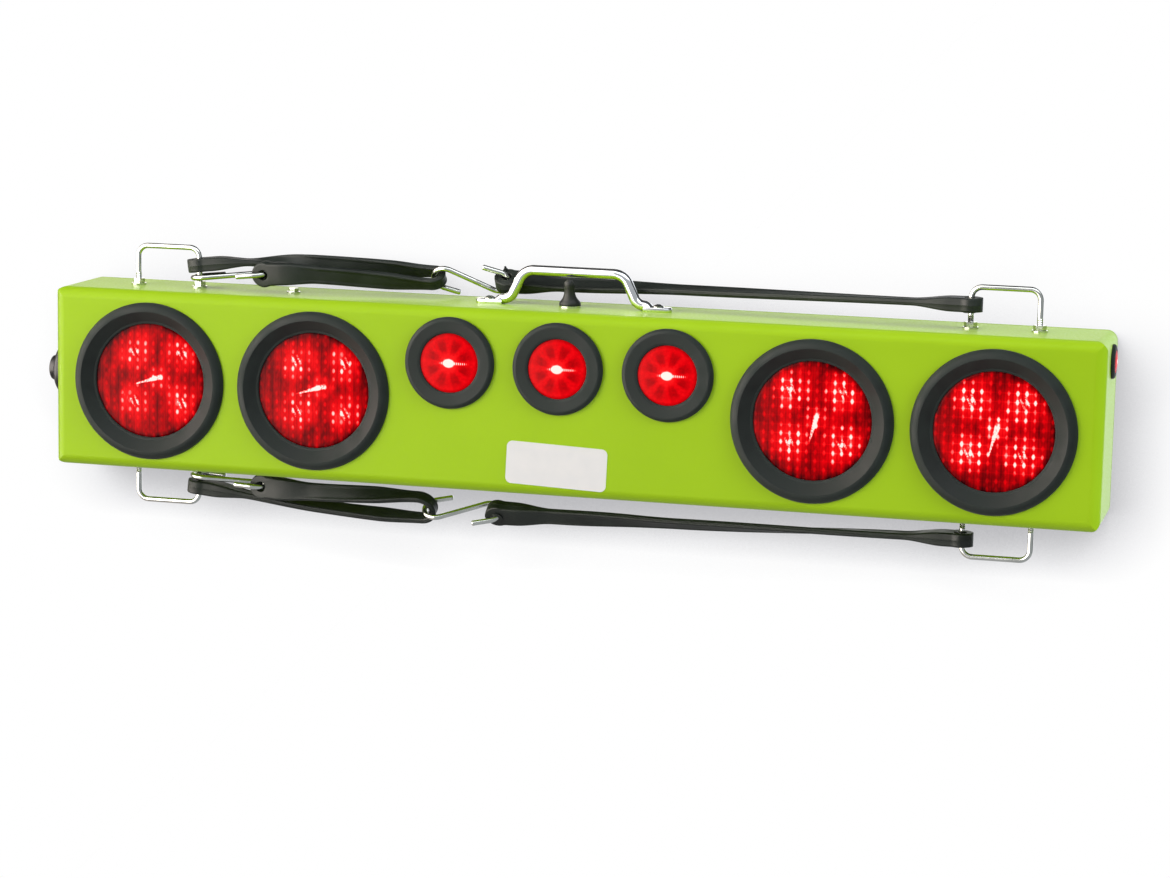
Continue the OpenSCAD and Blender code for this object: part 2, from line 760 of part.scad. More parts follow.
// Charging socket: domed flange outside, threaded barrel and nut inside, two contact pins
module port_socket() {
  color("black") on_end(-1, row_y, 0) {
    difference() {
      union() {
        intersection() {
          cylinder(r = port_flange_r, h = port_flange_h, $fn = fine);
          translate([0, 0, port_flange_h - port_dome_r]) sphere(r = port_dome_r, $fn = fine);
        }
        translate([0, 0, -port_barrel_l]) cylinder(r = port_hole_r - hole_gap, h = port_barrel_l, $fn = 48);
        translate([0, 0, -sheet_t - port_nut_t])
          cylinder(r = port_nut_flat / sqrt(3), h = port_nut_t, $fn = 6);
        cylinder(r = port_nose_r, h = port_flange_h + port_nose_l, $fn = 48);
      }
      translate([0, 0, 4 - port_barrel_l]) cylinder(r = port_bore_r, h = 60, $fn = 48);
    }
    for (s = [-1, 1]) translate([s * port_pin_x, 0, 3 - port_barrel_l])
      cylinder(r = port_pin_r, h = port_pin_l, $fn = 24);
  }
}

// Push-on cap over the socket's nose, with a bead at its mouth
module port_cap() {
  floor_z = port_flange_h + gap;
  color("black") on_end(-1, row_y, 0) difference() {
    rotate_extrude($fn = fine) polygon([
      [0, floor_z], [port_cap_r, floor_z], [port_cap_r, floor_z + 2.4], [port_cap_r - 0.7, floor_z + 3],
      [port_cap_r - 0.7, port_reach - 2], [port_cap_r - 2.6, port_reach], [0, port_reach]
    ]);
    translate([0, 0, floor_z - 1]) cylinder(r = port_nose_r + gap, h = port_nose_l + 1.4, $fn = 48);
  }
}

// Section of a strap across its run: a rectangle with round corners
function strap_section(hw, ht) =
  let (r = min(strap_edge_r, hw, ht))
  [for (c = [[1, 1, 0], [-1, 1, 90], [-1, -1, 180], [1, -1, 270]], k = [0:2])
    [c[0] * (hw - r) + r * cos(c[2] + 45 * k), c[1] * (ht - r) + r * sin(c[2] + 45 * k)]];

// Width direction of a strap that runs along t and is rolled by an angle from level
function across(t, roll) =
  let (w = [0, cos(roll), sin(roll)])
  unit(w - t * (w * t));

// Strap body swept through stations, each [place, roll, half width, half thickness]
module strap_body(stations) {
  last = len(stations) - 1;
  points = [for (i = [0:last])
    let (t = unit(stations[min(i + 1, last)][0] - stations[max(i - 1, 0)][0]),
      w = across(t, stations[i][1]),
      u = cross(t, w))
    for (q = strap_section(stations[i][2], stations[i][3])) stations[i][0] + w * q[0] + u * q[1]];
  skin(points, last, 12);
}

// Frame at a strap's eye: X along the strap, Y across it and Z through the hole
module at_eye(place, along, roll) {
  w = across(along, roll);
  u = cross(along, w);
  multmatrix([
    [along[0], w[0], u[0], place[0]],
    [along[1], w[1], u[1], place[1]],
    [along[2], w[2], u[2], place[2]],
    [0, 0, 0, 1]
  ]) children();
}

// Half width and half thickness of a strap at a distance from the middle of an eye
function eye_width(s) = keyed([[eye_rise, eye_r * 0.89], [16, eye_r * 0.87], [neck_l, strap_w / 2]], s);
function eye_thick(s) = keyed([[eye_flat_l, eye_t / 2 - 0.1], [neck_l, strap_t / 2]], s);

// A strap's first and last stations are the middles of its eyes, where the round ends are
module strap(stations) {
  last = len(stations) - 1;
  color("dimgray") {
    strap_body([for (i = [1:last - 1]) stations[i]]);
    for (e = [[0, 1], [last, last - 1]])
      at_eye(stations[e[0]][0], unit(stations[e[1]][0] - stations[e[0]][0]), stations[e[0]][1]) difference() {
        translate([0, 0, -eye_t / 2]) cylinder(r = eye_r, h = eye_t, $fn = 48);
        translate([0, 0, -eye_t]) cylinder(r = eye_hole_r, h = 2 * eye_t, $fn = 36);
      }
  }
}

// Point at t on a smooth run from a to b that leaves along da and arrives along db
function run_at(a, da, b, db, t) =
  let (l = norm(b - a) / 3, p = a + da * l, q = b - db * l, u = 1 - t)
  a * u * u * u + p * 3 * u * u * t + q * 3 * u * t * t + b * t * t * t;
// Distances from an eye's middle at which a strap has its rings
eye_places = [0, eye_rise, 9, 13, 18, 24, 30, 36, 42, neck_l];

// Shift of an eye on a bail's leg, which the pull draws against the hole's wall
function eye_shift(slope) = eye_hole_r - wire_r - gap - abs(slope) * eye_t / 2;

// Stations of the doubled strap: from the bail's leg to the fold, round it and back to the free eye
function doubled_stations(leg_z, slope, middle, step, free, arrive, rolls) =
  let (start = [-leg_x_inner + eye_shift(slope), row_y, leg_z],
    radius = norm(step) / 2,
    turn_x = fold_x - radius,
    rear = [turn_x, middle[0] - step[0] / 2, middle[1] - step[1] / 2],
    front = [turn_x, middle[0] + step[0] / 2, middle[1] + step[1] / 2],
    end = [free_eye_x, free[0], free[1]],
    run = turn_x - start[0],
    back = turn_x - end[0])
  concat(
    [for (s = concat(eye_places, [for (i = [1:9]) mix(neck_l, run, i / 10)])) [
      run_at(start, unit([1, 0, slope]), rear, [1, 0, 0], s / run),
      keyed([[0, rolls[0]], [neck_l - 8, rolls[0]], [run * 0.55, rolls[1]], [run, rolls[2]]], s),
      s < neck_l ? eye_width(s) : keyed([[run - fold_taper, strap_w / 2], [run, fold_hw]], s),
      eye_thick(s)]],
    [for (a = [-90:15:90]) [
      [turn_x + radius * cos(a), middle[0] + step[0] / 2 * sin(a), middle[1] + step[1] / 2 * sin(a)],
      rolls[2], fold_hw, fold_ht]],
    [for (s = concat([for (i = [1:5]) (back - neck_l) * i / 6],
      [for (i = [len(eye_places) - 1:-1:0]) back - eye_places[i]])) [
      run_at(front, [-1, 0, 0], end, arrive, s / back),
      keyed([[0, rolls[2]], [(back - neck_l) * 0.8, rolls[3]], [back - 20, rolls[4]]], s),
      s > back - neck_l ? eye_width(back - s) : keyed([[0, fold_hw], [fold_taper, strap_w / 2]], s),
      eye_thick(back - s)]]
  );

// Stations of the single strap: from the right bail's leg, past the handle, to its free eye
function single_stations(leg_z, eye, bend_x, rolls) =
  let (start = [leg_x_inner - eye_shift(0), row_y, leg_z],
    bend = [bend_x, eye[1], mix(leg_z, eye[2], 0.8)],
    l = start[0] - eye[0],
    to_bend = start[0] - bend[0])
  [for (s = concat(eye_places, [for (i = [1:14]) mix(neck_l, l - neck_l, i / 15)],
      [for (i = [len(eye_places) - 1:-1:0]) l - eye_places[i]]))
    [[start[0] - s, keyed([[0, start[1]], [to_bend, bend[1]]], s),
      keyed([[0, start[2]], [to_bend, bend[2]], [l - neck_l, eye[2]]], s)],
    keyed([[neck_l, rolls[0]], [l * 0.6, rolls[1]], [l * 0.85, rolls[2]]], s),
    s < l / 2 ? eye_width(s) : eye_width(l - s),
    s < l / 2 ? eye_thick(s) : eye_thick(l - s)]];

// Path of an S-hook in its own XY plane: the left bend is round the origin, the right one round [span, 0]
function hook_path(span, tip, flare) =
  let (lean = acos(2 * hook_r / span), out = 270 - flare, n = 14,
    bend = [for (i = [0:n]) let (a = mix(out, lean, i / n)) hook_r * [cos(a), sin(a)]],
    half = concat([bend[0] + tip * [-sin(out), cos(out)]], bend))
  concat(half, [for (i = [len(half) - 1:-1:0]) [span, 0] - half[i]]);

// Puts a hook between two bend centres. The tips point along the direction given as up
module hook_between(from, to, up, flare) {
  x = unit(to - from);
  y = unit(up - x * (up * x));
  z = cross(x, y);
  color("silver") multmatrix([
    [x[0], y[0], z[0], from[0]],
    [x[1], y[1], z[1], from[1]],
    [x[2], y[2], z[2], from[2]],
    [0, 0, 0, 1]
  ]) flat_rod([for (p = hook_path(norm(to - from), hook_tip, flare)) [p, wire_r, wire_r]], 10);
}

// Where the middle hook's left bend sits in the fold, and its right bend in the free eye
function seat_x(step) =
  let (inside = norm(step) / 2 - fold_ht)
  fold_x - norm(step) / 2 + sqrt(inside * inside - pow(wire_r + gap, 2))
    + sqrt(pow(hook_r - wire_r - gap, 2) - fold_hw * fold_hw);
function fold_up(step) = unit([0, -abs(step[1]), step[1] < 0 ? -step[0] : step[0]]);

top_seat = [seat_x(top_fold_step), top_row[0], top_row[1]];
low_seat = [seat_x(low_fold_step), low_row[0], low_row[1]];
top_tilt = acos(fold_up(top_fold_step)[2]);
low_tilt = acos(fold_up(low_fold_step)[2]);

// Bend centres of the hooks on the bails' legs and in the free eyes they hold
hook_leg_x = -leg_x_inner - wire_d - gap + hook_r;
function crown(from, eye) = eye - unit(eye - from) * (hook_r - eye_seat);
top_hook_from = [hook_leg_x, row_y, top_hook_z];
top_hook_to = crown(top_hook_from, [free_eye_x, top_free_eye[0], top_free_eye[1]]);
low_hook_from = [hook_leg_x, row_y, low_hook_z];
low_hook_to = crown(low_hook_from, [free_eye_x, low_free_eye[0], low_free_eye[1]]);

// Bend centres at the right ends of the middle hooks, and the eyes that they hold
middle_hook = [hook_span, 0, 0];
middle_eye = middle_hook + [hook_r - eye_seat, 0, 0];

top_left_stations = doubled_stations(top_leg_z, top_slope, top_row, top_fold_step, top_free_eye,
  unit(top_hook_from - top_hook_to), [0, 90, 90 + top_tilt, 105, 97]);
low_left_stations = doubled_stations(low_leg_z, low_slope, low_row, low_fold_step, low_free_eye,
  unit(low_hook_from - low_hook_to), [0, 22, low_tilt - 90, 70, 90]);
top_right_stations = single_stations(top_leg_z, top_seat + middle_eye, 60, [180, 192, 180 + top_tilt]);
low_right_stations = single_stations(low_leg_z, low_seat + middle_eye, 60, [180, 150, low_tilt]);

module hook_top_left() {
  hook_between(top_hook_from, top_hook_to, [0, -1, 0], leg_hook_flare);
}

module hook_top_middle() {
  hook_between(top_seat, top_seat + middle_hook, fold_up(top_fold_step), middle_hook_flare);
}

module hook_bottom_left() {
  hook_between(low_hook_from, low_hook_to, [0, -1, 0], leg_hook_flare);
}

module hook_bottom_middle() {
  hook_between(low_seat, low_seat + middle_hook, fold_up(low_fold_step), middle_hook_flare);
}

module label_plate() {
  color("white") on_front(0, label_z) rotate([0, 0, -label_tilt])
    linear_extrude(label_t) round_outline(label_w, label_h, label_corner_r);
}

// Battery behind the left tail lamps, in a band that hangs from the bolt in the top
module battery() {
  color("darkslategray") translate([bolt_x - battery_l / 2, battery_front, battery_top - battery_h])
    cube([battery_l, battery_t, battery_h]);
}

module battery_bracket() {
  band_low = battery_top - battery_h - gap - band_t;
  color("silver") difference() {
    union() {
      translate([bolt_x - band_w / 2, battery_front - gap - band_t, band_low])
        cube([band_w, battery_t + 2 * gap + 2 * band_t, inner_half_h - band_low]);
      translate([bolt_x - band_w / 2, row_y - band_lug, inner_half_h - band_t])
        cube([band_w, row_back + band_lug - battery_back, band_t]);
    }
    translate([bolt_x - band_w, battery_front - gap, battery_top - battery_h - gap])
      cube([2 * band_w, battery_t + 2 * gap, battery_h + 2 * gap]);
    translate([bolt_x, row_y, inner_half_h]) sheet_hole(bolt_r + hole_gap, 36);
  }
}

module battery_bolt() {
  color("silver") translate([bolt_x, row_y, 0]) {
    translate([0, 0, half_h]) cylinder(r = 2 * bolt_r, h = bolt_washer_t, $fn = 36);
    translate([0, 0, half_h + bolt_washer_t]) cylinder(r = bolt_head_flat / sqrt(3), h = bolt_r, $fn = 6);
    translate([0, 0, half_h - inner_reach])
      cylinder(r = bolt_r, h = inner_reach + bolt_washer_t / 2, $fn = 36);
    translate([0, 0, inner_half_h - band_t - nut_t]) difference() {
      cylinder(r = bolt_nut_flat / sqrt(3), h = nut_t, $fn = 6);
      translate([0, 0, -1]) cylinder(r = bolt_r + thread_gap, h = nut_t + 2, $fn = 36);
    }
  }
}

// Radio receiver on the inside of the cover, with its stub aerial
module receiver() {
  color("darkslategray") {
    translate([-receiver_l / 2, cover_face - receiver_t, receiver_low])
      cube([receiver_l, receiver_t, receiver_h]);
    translate([aerial_x, cover_face - receiver_t / 2, receiver_low + receiver_h])
      cylinder(r = aerial_r, h = aerial_l, $fn = 36);
  }
}

housing();
rear_cover();
cover_gasket();
cover_screws();
for (i = [1:4]) {
  on_front(tail_xs[i - 1], 0) grommet(tail_rim_r, tail_view_r, tail_hole_r, tail_lamp_r,
      tail_lamp_r - tail_skirt, tail_proud, tail_sunk);
  in_tail(tail_xs[i - 1]) tail_lens();
  in_tail(tail_xs[i - 1]) tail_reflector();
  in_tail(tail_xs[i - 1]) lamp_body(tail_lamp_r, tail_depth, shell_t);
}
for (i = [1:3]) {
  on_front(id_xs[i - 1], id_height)
      grommet(id_rim_r, id_view_r, id_hole_r, id_lamp_r, id_lamp_r - id_skirt, id_proud, 0);
  on_front(id_xs[i - 1], id_height) lens(id_view_r, id_lamp_r, id_dome);
  on_front(id_xs[i - 1], id_height) id_body();
}
lamp_chips();
marker_grommet(-1);  // marker_grommet_left
marker_grommet(1);  // marker_grommet_right
marker_lamp(-1);  // marker_lamp_left
marker_lamp(1);  // marker_lamp_right
bail(-1, 1);  // bail_top_left
bail(1, 1);  // bail_top_right
bail(-1, -1);  // bail_bottom_left
bail(1, -1);  // bail_bottom_right
bail_nuts();
handle();
handle_screws();
switch_body();
switch_nut();
switch_lever();
switch_boot();
port_socket();
port_cap();
strap(top_left_stations);  // strap_top_left
strap(top_right_stations);  // strap_top_right
strap(low_left_stations);  // strap_bottom_left
strap(low_right_stations);  // strap_bottom_right
hook_top_left();
hook_top_middle();
hook_bottom_left();
hook_bottom_middle();
label_plate();
battery();
battery_bracket();
battery_bolt();
receiver();
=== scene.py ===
import math

import bpy
from mathutils import Matrix, Vector


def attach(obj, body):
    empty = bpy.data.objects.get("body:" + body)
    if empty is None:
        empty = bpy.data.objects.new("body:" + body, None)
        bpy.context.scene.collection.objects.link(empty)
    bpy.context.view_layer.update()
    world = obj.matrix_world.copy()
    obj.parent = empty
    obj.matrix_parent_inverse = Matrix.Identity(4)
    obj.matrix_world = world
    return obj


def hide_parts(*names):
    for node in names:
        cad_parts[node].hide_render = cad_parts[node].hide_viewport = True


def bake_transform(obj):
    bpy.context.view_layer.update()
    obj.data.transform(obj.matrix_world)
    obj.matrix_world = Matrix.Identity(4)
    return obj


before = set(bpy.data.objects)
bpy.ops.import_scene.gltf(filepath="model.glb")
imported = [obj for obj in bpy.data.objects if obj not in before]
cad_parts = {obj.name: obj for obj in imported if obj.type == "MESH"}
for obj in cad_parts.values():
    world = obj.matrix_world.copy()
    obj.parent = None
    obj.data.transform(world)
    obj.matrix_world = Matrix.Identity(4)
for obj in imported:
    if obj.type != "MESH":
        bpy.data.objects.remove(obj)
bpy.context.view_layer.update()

MM = 0.001

# The housing, in millimetres, with the origin in the middle of its back face
HALF_L, HALF_H, DEPTH = 457.2, 78.5, 86
ROW_Y = -40  # depth at which everything on the top, bottom and ends sits
TAIL_XS = (-368.3, -217.8, 217.8, 368.3)
ID_XS, ID_Z = (-95, 0, 95), 31.5
RIM_TOP, LENS_RISE, TAIL_SUNK = 2.2, 1.2, 5
MARKER_Z = 57.5
WIRE_R = 2.4
BAIL_W = 57.15
WALL_Y = 0.4


def linear(code):
    """Linear colour of an sRGB hex value."""
    parts = [int(code[i : i + 2], 16) / 255 for i in (1, 3, 5)]
    return tuple(c / 12.92 if c <= 0.04045 else ((c + 0.055) / 1.055) ** 2.4 for c in parts) + (1.0,)


def add(tree, kind, *values, out=0, stops=None, inputs=None, **settings):
    """Adds a node, sets it up, fills its inputs and returns one of its outputs."""
    n = tree.nodes.new("ShaderNode" + kind)
    for name, value in settings.items():
        setattr(n, name, value)
    if stops:
        ramp = n.color_ramp.elements
        while len(ramp) < len(stops):
            ramp.new(1.0)
        for element, (place, code) in zip(ramp, stops):
            element.position, element.color = place, linear(code)
    for key, value in list(enumerate(values)) + list((inputs or {}).items()):
        if isinstance(value, bpy.types.NodeSocket):
            tree.links.new(value, n.inputs[key])
        elif value is not None:
            n.inputs[key].default_value = value
    return n.outputs[out] if n.outputs else None


def finish(name, **sockets):
    """A material with one shader and its typical values. What varies over the surface is linked by wire()."""
    m = bpy.data.materials.new(name)
    m.use_nodes = True
    shader = m.node_tree.nodes["Principled BSDF"]
    for key, value in sockets.items():
        shader.inputs[key.replace("_", " ")].default_value = value
    return m


def wire(material, **links):
    """Links sockets into a material's shader."""
    tree = material.node_tree
    for key, value in links.items():
        tree.links.new(value, tree.nodes["Principled BSDF"].inputs[key.replace("_", " ")])


# Materials

def powder_coat():
    """Polyester powder coat, baked: an even lime green with a low gloss and a faint orange peel."""
    m = finish("lime_powder_coat", Roughness=0.4, IOR=1.5, Specular_IOR_Level=0.3, Sheen_Weight=0.12,
               Sheen_Roughness=0.35)
    t = m.node_tree
    place = add(t, "TexCoord", out=3)
    peel = add(t, "TexNoise", place, inputs={"Scale": 420.0, "Detail": 2.0})  # peel waves of about 2.5 mm
    drift = add(t, "TexNoise", place, inputs={"Scale": 9.0, "Detail": 2.0})
    colour = add(t, "ValToRGB", drift, stops=[(0.3, "#9CC506"), (0.7, "#A2CB0C")])
    gloss = add(t, "MapRange", peel, 0.35, 0.65, 0.34, 0.46)
    bump = add(t, "Bump", inputs={"Strength": 0.18, "Distance": 0.05 * MM, "Height": peel})
    wire(m, Base_Color=colour, Roughness=gloss, Normal=bump)
    return m


def grommet_rubber():
    """Moulded black rubber of the grommets: matt, greyish where light grazes it, with a fine skin."""
    m = finish("matt_grommet_rubber", Roughness=0.62, IOR=1.52, Specular_IOR_Level=0.22, Sheen_Weight=0.12,
               Sheen_Roughness=0.4)
    t = m.node_tree
    place = add(t, "TexCoord", out=3)
    bloom = add(t, "TexNoise", place, inputs={"Scale": 60.0, "Detail": 3.0})
    skin = add(t, "TexNoise", place, inputs={"Scale": 1400.0, "Detail": 2.0})  # grain of 0.7 mm, coarser than real
    colour = add(t, "ValToRGB", bloom, stops=[(0.3, "#151B19"), (0.7, "#1F2623")])
    gloss = add(t, "MapRange", bloom, 0.3, 0.7, 0.52, 0.7)
    bump = add(t, "Bump", inputs={"Strength": 0.25, "Distance": 0.04 * MM, "Height": skin})
    wire(m, Base_Color=colour, Roughness=gloss, Normal=bump)
    return m


def strap_rubber():
    """Natural rubber of the tie-down straps, moulded: near black with a faint green cast and a satin skin."""
    m = finish("moulded_strap_rubber", Roughness=0.5, IOR=1.52, Specular_IOR_Level=0.3)
    t = m.node_tree
    place = add(t, "TexCoord", out=3)
    bloom = add(t, "TexNoise", place, inputs={"Scale": 45.0, "Detail": 4.0, "Roughness": 0.6})
    skin = add(t, "TexNoise", place, inputs={"Scale": 900.0, "Detail": 2.0})
    colour = add(t, "ValToRGB", bloom, stops=[(0.3, "#131815"), (0.7, "#212723")])
    gloss = add(t, "MapRange", bloom, 0.3, 0.7, 0.4, 0.6)
    bump = add(t, "Bump", inputs={"Strength": 0.3, "Distance": 0.06 * MM, "Height": skin})
    wire(m, Base_Color=colour, Roughness=gloss, Normal=bump)
    return m


def boot_rubber():
    """Moulded rubber of the boot over the switch: deep black, with a soft skin."""
    m = finish("boot_rubber", Roughness=0.55, IOR=1.45)
    t = m.node_tree
    skin = add(t, "TexNoise", add(t, "TexCoord", out=3), inputs={"Scale": 800.0, "Detail": 3.0})
    colour = add(t, "ValToRGB", skin, stops=[(0.35, "#0E100F"), (0.65, "#1A1D1B")])
    wire(m, Base_Color=colour, Roughness=add(t, "MapRange", skin, 0.3, 0.7, 0.45, 0.62))
    return m


def zinc_plate(name="bright_zinc_plate"):
    """Bright zinc plate on steel: pale, a little soft, clouded by the bath."""
    m = finish(name, Metallic=1.0, Roughness=0.24)
    t = m.node_tree
    place = add(t, "TexCoord", out=3)
    cloud = add(t, "TexNoise", place, inputs={"Scale": 60.0, "Detail": 3.0})
    colour = add(t, "ValToRGB", cloud, stops=[(0.3, "#C4C7C1"), (0.7, "#D8DAD5")])
    wire(m, Base_Color=colour, Roughness=add(t, "MapRange", cloud, 0.3, 0.7, 0.14, 0.24))
    return m


def threaded_zinc():
    """Zinc plate as above, with a rolled thread of 0.8 mm pitch near the housing, where the nuts sit."""
    m = zinc_plate("threaded_zinc_plate")
    t = m.node_tree
    height = add(t, "Math", add(t, "SeparateXYZ", add(t, "TexCoord", out=3), out=2), operation="ABSOLUTE")
    turn = add(t, "Math", height, 0.8 * MM, operation="PINGPONG")
    near = add(t, "MapRange", height, (HALF_H + 11.5) * MM, (HALF_H + 11) * MM, 0.0, 1.0)
    thread = add(t, "Math", turn, near, operation="MULTIPLY")
    wire(m, Normal=add(t, "Bump", inputs={"Strength": 1.0, "Distance": 0.6, "Height": thread}))
    return m


def chrome_plate():
    """Decorative chrome over polished steel: a clean mirror with faint polishing haze."""
    m = finish("polished_chrome", Metallic=1.0, Roughness=0.07)
    t = m.node_tree
    haze = add(t, "TexNoise", add(t, "TexCoord", out=3), inputs={"Scale": 90.0, "Detail": 5.0})
    colour = add(t, "ValToRGB", haze, stops=[(0.3, "#DDE0E1"), (0.7, "#EDEFF0")])
    wire(m, Base_Color=colour, Roughness=add(t, "MapRange", haze, 0.3, 0.7, 0.05, 0.12))
    return m


def gloss_plastic():
    """Moulded ABS of the end port and its cap: glossy black with a soft highlight."""
    m = finish("gloss_black_abs", Roughness=0.36, IOR=1.54, Specular_IOR_Level=0.4)
    t = m.node_tree
    flow = add(t, "TexNoise", add(t, "TexCoord", out=3), inputs={"Scale": 120.0, "Detail": 3.0})
    colour = add(t, "ValToRGB", flow, stops=[(0.3, "#08090A"), (0.7, "#121415")])
    bump = add(t, "Bump", inputs={"Strength": 0.15, "Distance": 0.03 * MM, "Height": flow})
    wire(m, Base_Color=colour, Roughness=add(t, "MapRange", flow, 0.3, 0.7, 0.3, 0.44), Normal=bump)
    return m


def film_label():
    """Vinyl film of the bare label plate: white, with a low even gloss and a faint ripple."""
    m = finish("white_vinyl_film", Roughness=0.35, IOR=1.5)
    t = m.node_tree
    ripple = add(t, "TexNoise", add(t, "TexCoord", out=3), inputs={"Scale": 70.0, "Detail": 2.0})
    colour = add(t, "ValToRGB", ripple, stops=[(0.3, "#E4E5E5"), (0.7, "#E9E9E8")])
    bump = add(t, "Bump", inputs={"Strength": 0.1, "Distance": 0.05 * MM, "Height": ripple})
    wire(m, Base_Color=colour, Normal=bump)
    return m


def foam():
    """Closed-cell foam of the gasket: dark grey and open-pored at its cut edge."""
    m = finish("gasket_foam", Roughness=0.85)
    t = m.node_tree
    cells = add(t, "TexVoronoi", add(t, "TexCoord", out=3), inputs={"Scale": 1200.0})
    wire(m, Base_Color=add(t, "ValToRGB", cells, stops=[(0.0, "#0D0D0D"), (0.6, "#232323")]),
         Normal=add(t, "Bump", inputs={"Strength": 0.5, "Distance": 0.2 * MM, "Height": cells}))
    return m


def matt_plastic(name, dark, light):
    """Moulded plastic of the parts inside, with a fine spark-eroded skin."""
    m = finish(name, Roughness=0.5, IOR=1.5)
    t = m.node_tree
    skin = add(t, "TexNoise", add(t, "TexCoord", out=3), inputs={"Scale": 700.0, "Detail": 3.0})
    wire(m, Base_Color=add(t, "ValToRGB", skin, stops=[(0.35, dark), (0.65, light)]),
         Roughness=add(t, "MapRange", skin, 0.3, 0.7, 0.42, 0.6))
    return m


# Red of the lit lenses, from a shaded pillow up to a white-hot glint
GLOW = [(0.0, "#2A0002"), (0.2, "#780003"), (0.36, "#B80005"), (0.52, "#EC0009"), (0.66, "#FF1418"),
        (0.8, "#FF7A76"), (0.9, "#FFC8C0"), (1.0, "#FFFBF2")]


def lit_lens(name, intensity_of):
    """Clear red polycarbonate, injection moulded, over lit chips: deep red with white-hot points and a faint gloss."""
    m = finish(name, Roughness=0.3, IOR=1.585, Specular_IOR_Level=0.015, Coat_Weight=0.03, Coat_Roughness=0.03,
               Emission_Strength=0.95)
    t = m.node_tree
    place = add(t, "TexCoord", out=3)
    glow, relief = intensity_of(t, place)
    hot = add(t, "ValToRGB", glow, stops=GLOW)
    # The base colour follows the glow, so it carries the painted glints and shade too
    base = add(t, "ValToRGB", glow, stops=[(0.0, "#1A0002"), (0.5, "#4A0003"), (1.0, "#A02020")])
    bump = add(t, "Bump", inputs={"Strength": 0.35, "Distance": 0.3 * MM, "Height": relief})
    wire(m, Base_Color=base, Emission_Color=hot, Normal=bump)
    return m


